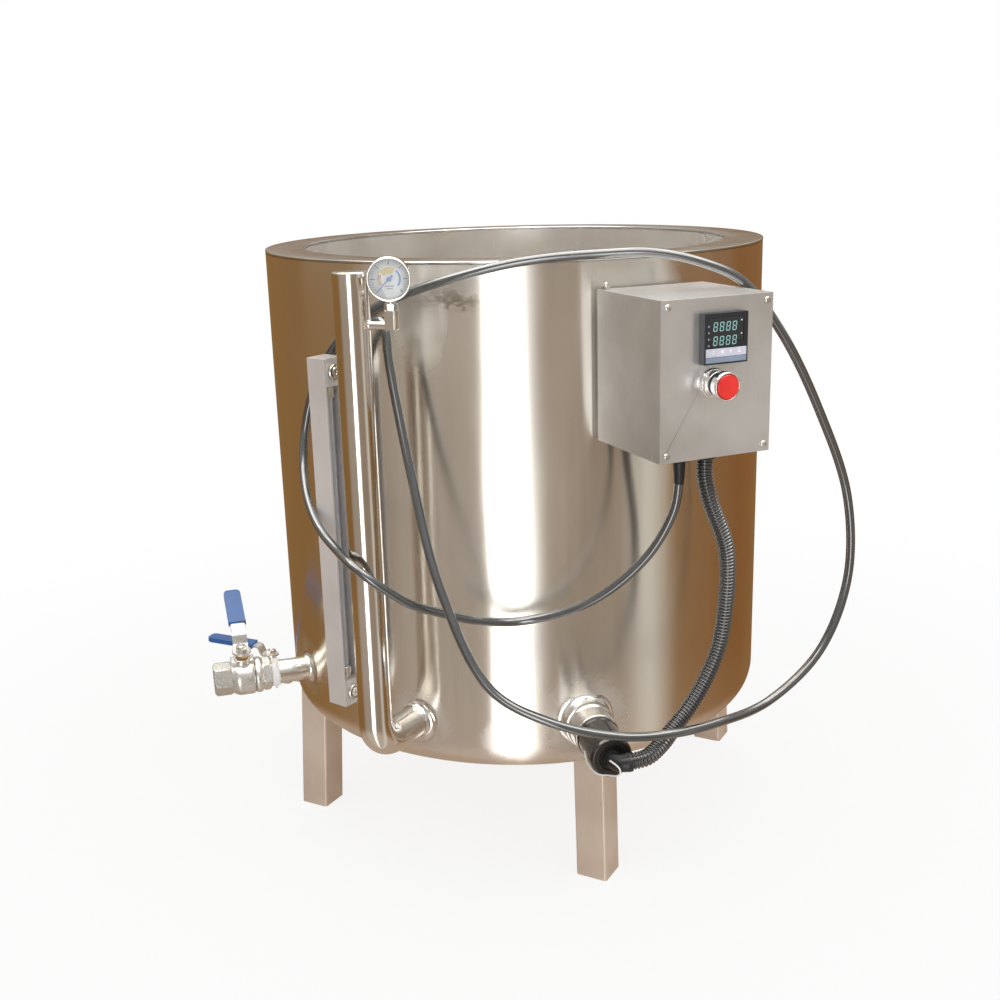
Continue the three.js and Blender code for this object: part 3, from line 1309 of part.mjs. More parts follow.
function makeConduit() {
  const end = elbowOutlet.clone().addScaledVector(elbowWay, fit.gap);
  const curve = new THREE.CatmullRomCurve3([underGland(conduitGland), ...conduitRoute, end]);
  curve.arcLengthDivisions = conduitRoute.length * conduit.ribsPerBoreRing * conduit.sides;
  const groups = Math.round(curve.getLength() / (conduit.ribPitch * conduit.ribsPerBoreRing));
  const ribs = groups * conduit.ribsPerBoreRing;
  const frames = curve.computeFrenetFrames(2 * ribs);
  const outerRadii = Array.from({ length: 2 * ribs + 1 }, (_, i) => (
    i % 2 === 0 ? conduit.rootRadius : conduit.radius
  ));
  const boreRadii = new Array(groups + 1).fill(conduit.boreRadius);
  const outer = ringsAlong(curve, frames, outerRadii, conduit.sides);
  const bore = ringsAlong(curve, frames, boreRadii, conduit.sides);
  const faces = [];
  const wall = (first, rings, inside) => {
    for (let i = 0; i < rings - 1; i += 1) {
      for (let k = 0; k < conduit.sides; k += 1) {
        const next = (k + 1) % conduit.sides;
        const corners = [k, next, next + conduit.sides, k + conduit.sides].map(
          (n) => first + i * conduit.sides + n
        );
        if (inside) corners.reverse();
        faces.push(corners[0], corners[1], corners[2], corners[0], corners[2], corners[3]);
      }
    }
  };
  wall(0, outerRadii.length, false);
  wall(outer.length, boreRadii.length, true);
  const lastOuter = outer.length - conduit.sides;
  const lastBore = outer.length + bore.length - conduit.sides;
  for (let k = 0; k < conduit.sides; k += 1) {
    const next = (k + 1) % conduit.sides;
    faces.push(k, outer.length + next, next, k, outer.length + k, outer.length + next);
    faces.push(
      lastOuter + k, lastOuter + next, lastBore + next, lastOuter + k, lastBore + next, lastBore + k,
    );
  }
  const geometry = new THREE.BufferGeometry().setFromPoints([...outer, ...bore]);
  geometry.setIndex(faces);
  return closed(geometry);
}

addPiece(assembly, 'conduit', makeConduit(), blackPlastic);

// The part's origin is under the middle of the object without its loose cable and plug

const cordNames = ['supply_cable', 'plug', 'conduit'];
const bounds = new THREE.Box3();
assembly.updateMatrixWorld(true);
assembly.traverse((piece) => {
  if (piece.isMesh && !cordNames.includes(piece.name)) bounds.expandByObject(piece, true);
});
const middle = bounds.getCenter(new THREE.Vector3());
assembly.position.set(-middle.x, -middle.y, -bounds.min.z);

export default assembly;
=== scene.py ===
"""The electric melting pot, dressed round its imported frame.

Lengths in tables are millimetres from the tank's axis and the floor, and mm() makes them metres.
+Z is up and -Y is the front. An azimuth of 0 degrees faces the front and grows towards +X.
"""

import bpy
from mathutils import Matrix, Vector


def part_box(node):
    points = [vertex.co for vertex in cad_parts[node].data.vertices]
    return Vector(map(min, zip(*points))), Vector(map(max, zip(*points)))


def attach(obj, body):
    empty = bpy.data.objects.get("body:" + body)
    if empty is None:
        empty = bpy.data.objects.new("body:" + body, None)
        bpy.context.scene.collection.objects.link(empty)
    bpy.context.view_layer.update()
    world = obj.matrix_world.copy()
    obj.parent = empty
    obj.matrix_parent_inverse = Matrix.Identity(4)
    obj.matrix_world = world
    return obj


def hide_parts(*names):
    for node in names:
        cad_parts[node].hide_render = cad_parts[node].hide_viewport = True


bl_info = {
    "name": "Electric melting pot",
    "version": (1, 0, 0),
    "blender": (4, 5, 0),
    "location": "3D View > Sidebar > Melting pot",
    "description": "Dresses the frame of a double-wall melting pot with its finished surfaces",
    "category": "Object",
}

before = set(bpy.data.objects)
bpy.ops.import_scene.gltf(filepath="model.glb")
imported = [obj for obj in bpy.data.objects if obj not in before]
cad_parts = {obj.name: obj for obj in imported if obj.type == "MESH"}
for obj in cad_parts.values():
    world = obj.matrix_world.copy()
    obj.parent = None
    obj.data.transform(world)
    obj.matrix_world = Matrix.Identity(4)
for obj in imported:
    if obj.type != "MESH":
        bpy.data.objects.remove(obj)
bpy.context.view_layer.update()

from math import cos, radians, sin, tan

import bmesh
import bpy
import numpy as np
from bpy.props import FloatProperty, PointerProperty
from mathutils import Matrix


# Places about the tank's axis

def mm(values):
    return np.asarray(values, dtype=float) * 0.001


def corners_of(node):
    return [np.array(corner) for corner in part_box(node)]


POT_LOW, POT_HIGH = corners_of("inner_pot")
AXIS = np.array([(POT_LOW[0] + POT_HIGH[0]) / 2, (POT_LOW[1] + POT_HIGH[1]) / 2, 0.0])
UP = np.array([0.0, 0.0, 1.0])


def outward(azimuth):
    return np.array([sin(radians(azimuth)), -cos(radians(azimuth)), 0.0])


def sideways(azimuth):
    return np.array([cos(radians(azimuth)), sin(radians(azimuth)), 0.0])


def place(azimuth, reach, height):
    """The point at that distance from the tank's axis and that height, both in millimetres."""
    return AXIS + outward(azimuth) * mm(reach) + UP * mm(height)


def unit(vector):
    return vector / np.linalg.norm(vector, axis=-1, keepdims=True)


# Surfaces as grids of points

def patch(points, wrap_rows=False, wrap_columns=True):
    """A grid of points as vertices and four-cornered faces.

    Row i and column j meet row i+1 and column j+1. A row whose points all fall together is a pole.
    """
    rows, columns = points.shape[:2]
    index = np.arange(rows * columns).reshape(rows, columns)
    pole = np.ptp(points, axis=1).max(axis=1) < 1e-9
    index[pole] = index[pole][:, :1]
    if wrap_rows:
        index = np.vstack([index, index[:1]])
    if wrap_columns:
        index = np.hstack([index, index[:, :1]])
    quads = np.stack([index[:-1, :-1], index[:-1, 1:], index[1:, 1:], index[1:, :-1]], axis=-1)
    return points.reshape(-1, 3), quads.reshape(-1, 4)


def outside_out(points, quads):
    """Turns the faces over where the volume that they enclose comes out negative."""
    a, b, c, d = (points[quads[:, k]] for k in range(4))
    volume = np.einsum("ij,ij->", a, np.cross(b, c)) + np.einsum("ij,ij->", a, np.cross(c, d))
    return quads if volume >= 0 else quads[:, ::-1]


def solid(points, wrap_rows=False):
    """A closed patch whose faces look outwards."""
    vertices, quads = patch(points, wrap_rows)
    return vertices, outside_out(vertices, quads)


def build(name, patches, material, body="root", node=None, sharp=35.0):
    """One object from several closed patches, with creases where faces meet at more than sharp degrees."""
    vertices, faces, first = [], [], 0
    for points, quads in patches:
        below = quads[:, 0] == quads[:, 1]
        above = quads[:, 2] == quads[:, 3]
        vertices.append(points)
        faces.append((quads[~below & ~above] + first).tolist())
        faces.append((quads[below & ~above][:, 1:] + first).tolist())
        faces.append((quads[above & ~below][:, :3] + first).tolist())
        first += len(points)
    mesh = bpy.data.meshes.new(name)
    mesh.from_pydata(np.concatenate(vertices), [], sum(faces, []))
    return finish_piece(name, mesh, material, body, node, sharp)


def finish_piece(name, mesh, material, body, node, sharp):
    work = bmesh.new()
    work.from_mesh(mesh)
    bmesh.ops.delete(work, geom=[v for v in work.verts if not v.link_faces], context="VERTS")
    work.to_mesh(mesh)
    work.free()
    mesh.polygons.foreach_set("use_smooth", np.full(len(mesh.polygons), True))
    mesh.set_sharp_from_angle(angle=radians(sharp))
    mesh.update()
    piece = bpy.data.objects.new(name, mesh)
    bpy.context.scene.collection.objects.link(piece)
    mesh.materials.append(FINISHES[material])
    if body:
        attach(piece, body)
    if node:
        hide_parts(*([node] if isinstance(node, str) else node))
    return piece


def circle(count):
    """The angles of a full turn, without its last."""
    return np.arange(count) * (2 * np.pi / count)


def across(axis, towards=None):
    """Two directions at right angles to an axis and to each other, the first as near towards as may be."""
    axis = unit(np.asarray(axis, dtype=float))
    if towards is None:
        towards = UP if abs(axis[2]) < 0.9 else np.array([1.0, 0.0, 0.0])
    first = unit(np.asarray(towards) - axis * np.dot(towards, axis))
    return first, np.cross(axis, first)


def turned(profile, origin, axis, segments=64, towards=None, shape=None):
    """A profile of (radius, height) in millimetres turned about an axis.

    The point at height h and angle t is origin + axis h + r (first cos t + second sin t), and shape
    may change r. A profile that doesn't end on the axis is a closed ring.
    """
    profile = np.asarray(profile, dtype=float)
    first, second = across(axis, towards)
    angle = circle(segments)[None, :]
    radius, height = profile[:, :1] + 0 * angle, profile[:, 1:] + 0 * angle
    if shape:
        radius, height = shape(radius, height, angle + 0 * radius)
    points = (
        origin + mm(height)[..., None] * unit(np.asarray(axis, dtype=float))
        + mm(radius)[..., None] * (np.cos(angle)[..., None] * first + np.sin(angle)[..., None] * second)
    )
    ring = not (profile[0, 0] == 0 and profile[-1, 0] == 0)
    return solid(points, wrap_rows=ring)


def rounded(points, radius, steps=4):
    """A profile or path whose inner corners are arcs: each corner's two tangent points joined by
    the quadratic curve that the corner pulls."""
    points = [np.asarray(p, dtype=float) for p in points]
    radii = np.broadcast_to(radius, len(points))
    share = np.linspace(0, 1, steps + 1)[:, None]
    out = [points[0][None]]
    for before, here, after, r in zip(points, points[1:], points[2:], radii[1:]):
        to, on = np.linalg.norm(here - before), np.linalg.norm(after - here)
        reach = min(r, to * 0.49, on * 0.49)
        start, end = here + (before - here) * reach / to, here + (after - here) * reach / on
        out.append((1 - share) ** 2 * start + 2 * share * (1 - share) * here + share ** 2 * end)
    return np.concatenate(out + [points[-1][None]])


def bent(corners, bend, steps=12):
    """A path in millimetres of straight runs joined by true arcs of that bend radius."""
    corners = [np.asarray(c, dtype=float) for c in corners]
    out = [corners[0][None]]
    for before, here, after in zip(corners, corners[1:], corners[2:]):
        to, on = unit(here - before), unit(after - here)
        half = np.arccos(np.clip(to @ on, -1, 1)) / 2
        start = here - to * bend * tan(half)
        centre = here + unit(on - to) * bend / cos(half)
        axis = unit(np.cross(to, on))
        turn = np.linspace(0, 2 * half, steps + 1)[:, None]
        spoke = start - centre
        out.append(centre + spoke * np.cos(turn) + np.cross(axis, spoke) * np.sin(turn))
    return np.concatenate(out + [corners[-1][None]])


def carried(path):
    """Tangents and two cross directions along a path, each carried on from the one before it."""
    tangent = unit(np.gradient(path, axis=0))
    first = np.empty_like(tangent)
    first[0] = across(tangent[0])[0]
    for i in range(1, len(path)):
        first[i] = unit(first[i - 1] - tangent[i] * (first[i - 1] @ tangent[i]))
    return tangent, first, np.cross(tangent, first)


def swept(path, radius, sides=24, shape=None):
    """A round tube along a path in metres, closed at both ends.

    The point at station i and angle t is path + r (first cos t + second sin t), with r in
    millimetres, one for each station or for all.
    """
    tangent, first, second = carried(path)
    angle = circle(sides)[None, :]
    radius = np.broadcast_to(np.asarray(radius, dtype=float), len(path))[:, None] + 0 * angle
    if shape:
        radius = shape(radius, angle)
    ring = first[:, None] * np.cos(angle)[..., None] + second[:, None] * np.sin(angle)[..., None]
    points = path[:, None] + mm(radius)[..., None] * ring
    ends = [np.repeat(path[k][None, None], sides, axis=1) for k in (0, -1)]
    return solid(np.concatenate([ends[0], points, ends[1]]))


def boxed(low, high, edge, axes, origin):
    """A block from low to high in millimetres along three axes, its edges rounded by edge.

    The surface is a rounded rectangle carried up, drawn in by edge (1 - cos t) at each end.
    """
    low, high = np.asarray(low, dtype=float), np.asarray(high, dtype=float)
    turn = np.linspace(0, np.pi / 2, 5)
    lift = np.concatenate([edge * (1 - np.sin(turn[::-1])), (high - low)[2] - edge * (1 - np.sin(turn))])
    inset = np.concatenate([edge * (1 - np.cos(turn[::-1])), edge * (1 - np.cos(turn))])
    corner = edge * (1 - np.stack([np.cos(turn), np.sin(turn)], axis=1))
    outline = []
    for sx, sy, flip in ((1, 1, 1), (-1, 1, -1), (-1, -1, 1), (1, -1, -1)):
        x = (high[0] - corner[:, 0]) if sx > 0 else (low[0] + corner[:, 0])
        y = (high[1] - corner[:, 1]) if sy > 0 else (low[1] + corner[:, 1])
        outline.append(np.stack([x, y, np.full_like(x, sx), np.full_like(x, sy)], axis=1)[::flip])
    outline = np.concatenate(outline)
    grid = np.empty((len(lift), len(outline), 3))
    grid[..., 0] = outline[:, 0] - inset[:, None] * outline[:, 2]
    grid[..., 1] = outline[:, 1] - inset[:, None] * outline[:, 3]
    grid[..., 2] = low[2] + lift[:, None]
    middle = (low + high) / 2
    caps = [np.broadcast_to([middle[0], middle[1], z], (1, len(outline), 3)) for z in (low[2], high[2])]
    return solid(origin + mm(np.concatenate([caps[0], grid, caps[1]])) @ np.array(axes))


def hexagonal(width):
    """Turns a round profile into a hexagon of that width over its flats: at angle t the radius is at
    most half the width over the cosine of t's distance from the middle of its flat."""
    def shape(radius, height, angle):
        off = np.mod(angle, np.pi / 3) - np.pi / 6
        return np.minimum(radius, width / 2 / np.cos(off)), height
    return shape


def hex_profile(width, start, end, chamfer, bore=0.0):
    """The profile of a chamfered hexagon bar, as cones over its corners."""
    corner, flat = width / 2 / cos(radians(30)), width / 2 * 0.985
    share = np.linspace(0, 1, 5)
    rise = np.stack([flat + (corner - flat) * share, start + chamfer * share], axis=1)
    fall = np.stack([flat + (corner - flat) * share[::-1], end - chamfer * share[::-1]], axis=1)
    body = np.concatenate([rise, fall])
    return np.concatenate([[[bore, start]], body, [[bore, end]]])


def ripple(beads, height, seed):
    """A weld bead's scales: the radius swells by height at each bead, with a slow wander added."""
    def shape(radius, rise, angle):
        wave = np.abs(np.sin(angle * beads / 2)) + 0.6 * np.sin(angle * 3 + seed)
        wave = wave + 0.4 * np.sin(angle * 7 + 2 * seed)
        swell = (radius - radius.min()) / max(np.ptp(radius), 1e-6)
        return radius + height * wave * swell, rise
    return shape


def bead(inner, outer, start, end, origin, axis, beads=30, seed=1.0, segments=160, scale=0.18):
    """A weld bead between a tube and a wall: a quarter-round fillet with scales."""
    turn = np.linspace(0, np.pi / 2, 9)
    arc = np.stack(
        [outer - (outer - inner) * np.sin(turn), start + (end - start) * (1 - np.cos(turn))], axis=1)
    profile = np.concatenate([[[inner - 0.3, start]], arc, [[inner - 0.3, end]]])
    return turned(profile, origin, axis, segments, shape=ripple(beads, scale, seed))


def dressed(node, material, edge=0.5, sharp=30.0, body="root", segments=2):
    """A CAD node's copy with its points merged, its flat triangles joined and its edges rounded."""
    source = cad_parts[node]
    mesh = source.data.copy()
    mesh.transform(source.matrix_world)
    mesh.materials.clear()
    work = bmesh.new()
    work.from_mesh(mesh)
    bmesh.ops.remove_doubles(work, verts=work.verts, dist=2e-6)
    bmesh.ops.dissolve_limit(work, angle_limit=radians(0.5), verts=work.verts, edges=work.edges)
    work.to_mesh(mesh)
    work.free()
    name = node + "_piece"
    piece = finish_piece(name, mesh, material, body, node, sharp)
    if edge:
        bevel = piece.modifiers.new("Edges", "BEVEL")
        bevel.width = edge * 0.001
        bevel.segments = segments
        bevel.limit_method = "ANGLE"
        bevel.angle_limit = radians(sharp)
        bevel.harden_normals = True
    return piece


# Materials as node trees

FINISHES = {}


class Tree:
    """A material's or world's nodes. A value that is a socket is linked, any other is set."""

    def __init__(self, owner):
        owner.use_nodes = True
        self.nodes, self.links = owner.node_tree.nodes, owner.node_tree.links
        self.nodes.clear()

    def add(self, kind, inputs=(), **settings):
        node = self.nodes.new(kind)
        for name, value in settings.items():
            setattr(node, name, value)
        for name, value in dict(inputs).items():
            if isinstance(value, bpy.types.NodeSocket):
                self.links.new(value, node.inputs[name])
            else:
                node.inputs[name].default_value = value
        return node

    def where(self, scale=(1, 1, 1), centre=(0, 0, 0), turn=(0, 0, 0)):
        """Object coordinates about a centre in metres, turned and scaled."""
        spot = self.add("ShaderNodeTexCoord").outputs["Object"]
        moved = self.add("ShaderNodeVectorMath", {0: spot, 1: tuple(centre)}, operation="SUBTRACT")
        return self.add("ShaderNodeMapping", {
            "Vector": moved.outputs[0], "Rotation": tuple(radians(t) for t in turn), "Scale": scale,
        }).outputs[0]

    def noise(self, vector, scale, detail=4.0, rough=0.55, distortion=0.0):
        return self.add("ShaderNodeTexNoise", {
            "Vector": vector, "Scale": scale, "Detail": detail, "Roughness": rough, "Distortion": distortion,
        }).outputs["Fac"]

    def spread(self, value, low, high, to_low=0.0, to_high=1.0, smooth=False):
        """A value's range from low to high carried to another range and held at its ends."""
        kind = "SMOOTHSTEP" if smooth else "LINEAR"
        return self.add("ShaderNodeMapRange", {
            "Value": value, "From Min": low, "From Max": high, "To Min": to_low, "To Max": to_high,
        }, interpolation_type=kind).outputs[0]

    def sum(self, a, b, how="ADD"):
        return self.add("ShaderNodeMath", {0: a, 1: b}, operation=how).outputs[0]

    def mix(self, share, a, b):
        node = self.add("ShaderNodeMix", data_type="RGBA")
        for key, value in ((0, share), (6, a), (7, b)):
            if isinstance(value, bpy.types.NodeSocket):
                self.links.new(value, node.inputs[key])
            else:
                node.inputs[key].default_value = value if key == 0 else (*value, 1.0)[:4]
        return node.outputs[2]

    def ramp(self, value, stops):
        node = self.add("ShaderNodeValToRGB", {"Fac": value})
        band = node.color_ramp.elements
        while len(band) < len(stops):
            band.new(1.0)
        for element, (spot, colour) in zip(band, sorted(stops)):
            element.position = spot
            element.color = (*colour, 1.0)
        return node.outputs[0]

    def bump(self, height, distance, strength=1.0, normal=None):
        inputs = {"Height": height, "Distance": distance, "Strength": strength}
        if normal:
            inputs["Normal"] = normal
        return self.add("ShaderNodeBump", inputs).outputs[0]

    def surface(self, **inputs):
        """The principled surface and the output. Names come with _ for spaces."""
        named = {key.replace("_", " "): value for key, value in inputs.items()}
        shader = self.add("ShaderNodeBsdfPrincipled")
        for key, value in named.items():
            socket = shader.inputs[key]
            if isinstance(value, bpy.types.NodeSocket):
                self.links.new(value, socket)
            elif isinstance(value, tuple) and socket.type == "RGBA":
                socket.default_value = (*value, 1.0)[:4]
            else:
                socket.default_value = value
        self.add("ShaderNodeOutputMaterial", {"Surface": shader.outputs[0]})


def material(name):
    made = bpy.data.materials.new(name)
    FINISHES[name] = made
    return Tree(made)


def hue(code):
    """A linear colour from a six-digit screen colour."""
    screen = np.array([int(code[k:k + 2], 16) for k in (0, 2, 4)]) / 255
    return tuple(np.where(screen <= 0.04045, screen / 12.92, ((screen + 0.055) / 1.055) ** 2.4))


def steel(name, colour, dark, roughness, grain=(1, 1, 1), grain_size=60.0, marks=0.35, bump=0.02, metal=1.0):
    """Steel with cloudy tone, a directed grain in its roughness and a few fine scratches."""
    t = material(name)
    cloud = t.noise(t.where(), 9.0, 3.0)
    lines = t.noise(t.where(grain), grain_size, 6.0, 0.7)
    scuff = t.spread(t.noise(t.where((6, 6, 1.5)), 11.0, 8.0, 0.72, 1.2), 0.60, 0.72)
    base = t.mix(t.spread(cloud, 0.35, 0.65), dark, colour)
    base = t.mix(t.sum(scuff, marks, "MULTIPLY"), base, tuple(min(1, c * 1.25) for c in colour))
    rough = t.sum(
        t.spread(lines, 0.3, 0.7, roughness * 0.75, roughness * 1.3), t.sum(scuff, 0.08, "MULTIPLY"))
    t.surface(
        Base_Color=base, Metallic=metal, Roughness=rough,
        Normal=t.bump(lines, bump * 0.001, 0.6),
    )


def moulded(name, colour, roughness, bump=0.02, coat=0.0, grain=900.0, **more):
    """Plastic or rubber with a fine grain and slightly uneven gloss."""
    t = material(name)
    fine = t.noise(t.where(), grain, 3.0)
    patchy = t.noise(t.where(), 35.0, 4.0)
    base = t.mix(
        t.spread(patchy, 0.3, 0.7), tuple(c * 0.85 for c in colour), tuple(min(1, c * 1.12) for c in colour))
    t.surface(
        Base_Color=base, Roughness=t.spread(patchy, 0.25, 0.75, roughness * 0.8, roughness * 1.25),
        Coat_Weight=coat, Coat_Roughness=0.08, Normal=t.bump(fine, bump * 0.001, 0.7), **more,
    )


def turn_about_tank(t):
    """Azimuth about the tank's axis as a share of a turn, from -0.5 to 0.5, and the height."""
    spot = t.add("ShaderNodeSeparateXYZ", {0: t.where(centre=tuple(AXIS))}).outputs
    back = t.sum(spot[1], -1.0, "MULTIPLY")
    angle = t.add("ShaderNodeMath", {0: spot[0], 1: back}, operation="ARCTAN2").outputs[0]
    return t.sum(angle, 1 / (2 * np.pi), "MULTIPLY"), spot[2]


def near(t, azimuth, height, width, rise):
    """1 at a spot on the shell, falling to 0 at width degrees and rise millimetres from it."""
    angle, level = turn_about_tank(t)
    x = t.sum(t.sum(angle, -azimuth / 360), 360 / width, "MULTIPLY")
    z = t.sum(t.sum(level, -height * 0.001), 1000 / rise, "MULTIPLY")
    reach = t.sum(t.sum(x, x, "MULTIPLY"), t.sum(z, z, "MULTIPLY"))
    return t.spread(reach, 0.0, 1.0, 1.0, 0.0, smooth=True)


def make_shell_finish():
    """Polished sheet with a grain that runs round the tank, so that what it mirrors blurs upwards and
    downwards only. Its welded spots are dull, and faint streaks run down it. Its colour also holds
    painted reflections: warm and reddish bands by azimuth, a paler band low on the wall for the floor,
    and a dark mark under the cable that is partly painted reflection and partly stain."""
    t = material("shell")
    angle, level = turn_about_tank(t)
    streak = t.noise(t.where((30, 30, 0.8)), 3.0, 6.0, 0.6)
    cloud = t.noise(t.where((4, 4, 2)), 2.2, 5.0, 0.6)
    # Painted reflections in the sheet's colour: warm bands on the left side and a reddish band on the right,
    # set by azimuth.
    plain, reflected_warm, reflected_red = "ece8e0", "e0d0b0", "e0c0a8"
    painted_reflection_bands = [(-180, plain), (-100, reflected_warm), (-50, reflected_warm), (-10, plain), (60, plain), (85, reflected_red), (180, plain)]
    tone = t.ramp(t.sum(angle, 0.5), [(a / 360 + 0.5, hue(c)) for a, c in painted_reflection_bands])
    tone = t.mix(t.spread(streak, 0.35, 0.75, 0.0, 0.30), tone, hue("d5cec5"))
    # Paler low on the wall: a painted reflection of the pale floor.
    foot = t.spread(level, 0.17, 0.26, 1.0, 0.0, smooth=True)
    tone = t.mix(t.sum(foot, 0.5, "MULTIPLY"), tone, hue("f0e4da"))
    # A dark mark under the cable, high on the front: partly a painted reflection of the cable and its shade,
    # partly a stain.
    cable_reflection_and_stain = t.spread(t.noise(t.where((1, 1, 2)), 38.0, 6.0, 0.7), 0.46, 0.56)
    cable_reflection_and_stain = t.sum(cable_reflection_and_stain, near(t, 14.5, 668, 8, 17), "MULTIPLY")
    tone = t.mix(t.sum(cable_reflection_and_stain, 0.8, "MULTIPLY"), tone, hue("93877c"))
    dull = t.sum(near(t, 8.5, 655, 7, 75), near(t, 14, 690, 10, 26), "MAXIMUM")
    for spot in ((4.2, 199, 9, 42), (-32.6, 214, 9, 46), (41, 204.5, 12, 62), (25, 184, 8, 30)):
        dull = t.sum(dull, near(t, *spot), "MAXIMUM")
    dull = t.sum(dull, t.spread(t.noise(t.where(), 55.0, 6.0, 0.7), 0.35, 0.6, 0.35, 1.0), "MULTIPLY")
    tone = t.mix(t.sum(dull, 0.5, "MULTIPLY"), tone, hue("f2f2f1"))
    scratch = t.spread(t.noise(t.where((5, 5, 2.2), turn=(0, 24, 0)), 24.0, 9.0, 0.78, 2.0), 0.66, 0.72)
    rough = t.sum(t.spread(cloud, 0.3, 0.7, 0.19, 0.26), t.sum(dull, 0.22, "MULTIPLY"))
    rough = t.sum(rough, t.sum(scratch, 0.08, "MULTIPLY"))
    ridges = t.bump(t.noise(t.where((1.2, 1.2, 0.35)), 9.0, 2.0), 0.0008, 0.5)
    t.surface(
        Base_Color=tone, Metallic=1.0, Roughness=rough, Anisotropic=0.97, Anisotropic_Rotation=0.25,
        Tangent=t.add("ShaderNodeTangent", direction_type="RADIAL", axis="Z").outputs[0],
        Normal=t.bump(t.noise(t.where(), 420.0, 4.0, 0.7), 0.00002, t.sum(dull, 0.9, "MULTIPLY"), ridges),
    )


def make_finishes(sizes):
    make_shell_finish()
    steel("rim_steel", hue("e2e4e4"), hue("cfcecb"), 0.16, (1, 1, 1), 30.0, 0.3, 0.03)
    steel("pot_steel", hue("f4f1ec"), hue("ded8d0"), 0.20, (6, 6, 0.6), 20.0, 0.5, 0.04, 0.72)
    steel("standpipe_steel", hue("eeebe7"), hue("ddd7ce"), 0.12, (20, 20, 0.8), 12.0, 0.25, 0.012)
    steel("pipe_steel", hue("eeece8"), hue("dad5cd"), 0.17, (1, 1, 1), 40.0, 0.35, 0.03)
    steel("weld_steel", hue("f3f2f0"), hue("d8d3cb"), 0.22, (1, 1, 1), 120.0, 0.5, 0.12)
    steel("leg_steel", hue("dccbbb"), hue("cbb7a4"), 0.34, (60, 60, 2), 14.0, 0.5, 0.03, 0.25)
    steel("cast_steel", hue("ebebe8"), hue("cfccc6"), 0.28, (1, 1, 1), 240.0, 0.45, 0.08, 0.8)
    steel("lever_steel", hue("e6e3e0"), hue("cfccc8"), 0.30, (1, 1, 1), 70.0, 0.35, 0.03, 0.8)
    steel("bolt_steel", hue("f0efed"), hue("d8d5d0"), 0.20, (1, 1, 1), 90.0, 0.3, 0.02)
    steel("chrome", hue("f3f2f0"), hue("e2e0dd"), 0.09, (1, 1, 1), 50.0, 0.15, 0.01)
    steel("brass", hue("dcc08a"), hue("bf9f66"), 0.28, (1, 1, 1), 80.0, 0.3, 0.03)
    steel("aluminium", hue("e6e2e0"), hue("d6d2cf"), 0.40, (160, 160, 3), 9.0, 0.25, 0.02, 0.4)
    steel("box_steel", hue("e9eaeb"), hue("d4d3d2"), 0.34, (90, 90, 2.5), 11.0, 0.35, 0.015, 0.88)
    moulded("vinyl", hue("2560a8"), 0.34, 0.03, 0.3)
    moulded("cap_black", hue("26231f"), 0.18, 0.02, 0.6)
    moulded("nylon", hue("1c1d1f"), 0.42, 0.04)
    moulded("boot_rubber", hue("202123"), 0.36, 0.03)
    moulded("controller_black", hue("24262b"), 0.34, 0.04)
    moulded("window_black", hue("0e1318"), 0.10, 0.0, 0.7)
    moulded("key_lilac", hue("d3d2e0"), 0.45, 0.02)
    moulded("strip_blue", hue("8a98ac"), 0.42, 0.02)
    moulded("print_white", hue("f2f2f0"), 0.5, 0.0)
    moulded("button_red", hue("e8231a"), 0.26, 0.01, 0.4)
    moulded("dial_white", hue("fbfaf6"), 0.5, 0.01)
    moulded("dial_black", hue("8c8a86"), 0.5, 0.0)
    moulded("dial_yellow", hue("efd08c"), 0.5, 0.0)
    moulded("dial_blue", hue("8496cf"), 0.45, 0.0)
    moulded("dial_red", hue("e0b8a4"), 0.5, 0.0)
    moulded("tape_white", hue("fbfaf8"), 0.55, 0.06, grain=300.0)
    moulded("wire_white", hue("efeee9"), 0.4, 0.02)
    moulded("terminal_white", hue("e3ddce"), 0.45, 0.03)
    moulded("cable_black", hue("34383a"), 0.24, 0.03, 1.0, 220.0, Coat_IOR=1.9, Specular_IOR_Level=0.8)
    moulded("conduit_black", hue("222426"), 0.22, 0.02, 0.9, Coat_IOR=1.8, Specular_IOR_Level=0.8)
    t = material("digits_teal")
    glow = t.noise(t.where(), 500.0, 2.0)
    t.surface(
        Base_Color=t.mix(glow, hue("79a9a6"), hue("9cc4c0")), Roughness=0.3,
        Emission_Color=hue("8cc4be"), Emission_Strength=0.30,
    )
    t = material("glass")
    t.surface(
        Base_Color=(0.96, 0.98, 0.98), Roughness=t.spread(t.noise(t.where(), 60.0), 0.3, 0.7, 0.015, 0.05),
        Transmission_Weight=1.0, IOR=1.45,
    )
    t = material("tube_glass")
    t.surface(
        Base_Color=hue("d8d8dc"), Roughness=t.spread(t.noise(t.where(), 60.0), 0.3, 0.7, 0.03, 0.08),
        Transmission_Weight=0.45, IOR=1.45,
    )


# Sizes of the pieces, in millimetres, as in the frame

TANK = {"radius": 300.0, "top": 708.0, "bottom": 140.0, "knuckle": 35.0, "wall": 2.0, "rim": 3.0}
POT = {"radius": 255.0, "floor": 250.0, "knuckle": 30.0, "wall": 2.0}
DRAIN = {"azimuth": -32.6, "height": 213.7, "radius": 14.2, "kink": 318.0, "turned": -45.4, "valve": 62.0}
JACKET = {"azimuth": -77.0, "height": 104.0, "radius": 10.6, "socket": 225.0, "valve": 370.0}
STANDPIPE = {"azimuth": 2.5, "reach": 372.0, "radius": 18.0, "top": 705.0, "stub": 199.0, "weld": 4.2}
HEATER = {"azimuth": 41.0, "height": 204.5}
LEG = {"half": 19.0, "wall": 2.0, "foot": 197.5, "splay": 3.0, "seat": 150.0}
BOX = {"azimuth": 52.25, "panel": 430.1, "left": -47.3, "right": 76.9, "bottom": 522.4, "top": 677.2}
BUTTON = {"x": 10.6, "height": 595.8}
DIAL = {"facing": 26.0, "height": 698.5, "arm_azimuth": 95.8, "arm": 43.3}
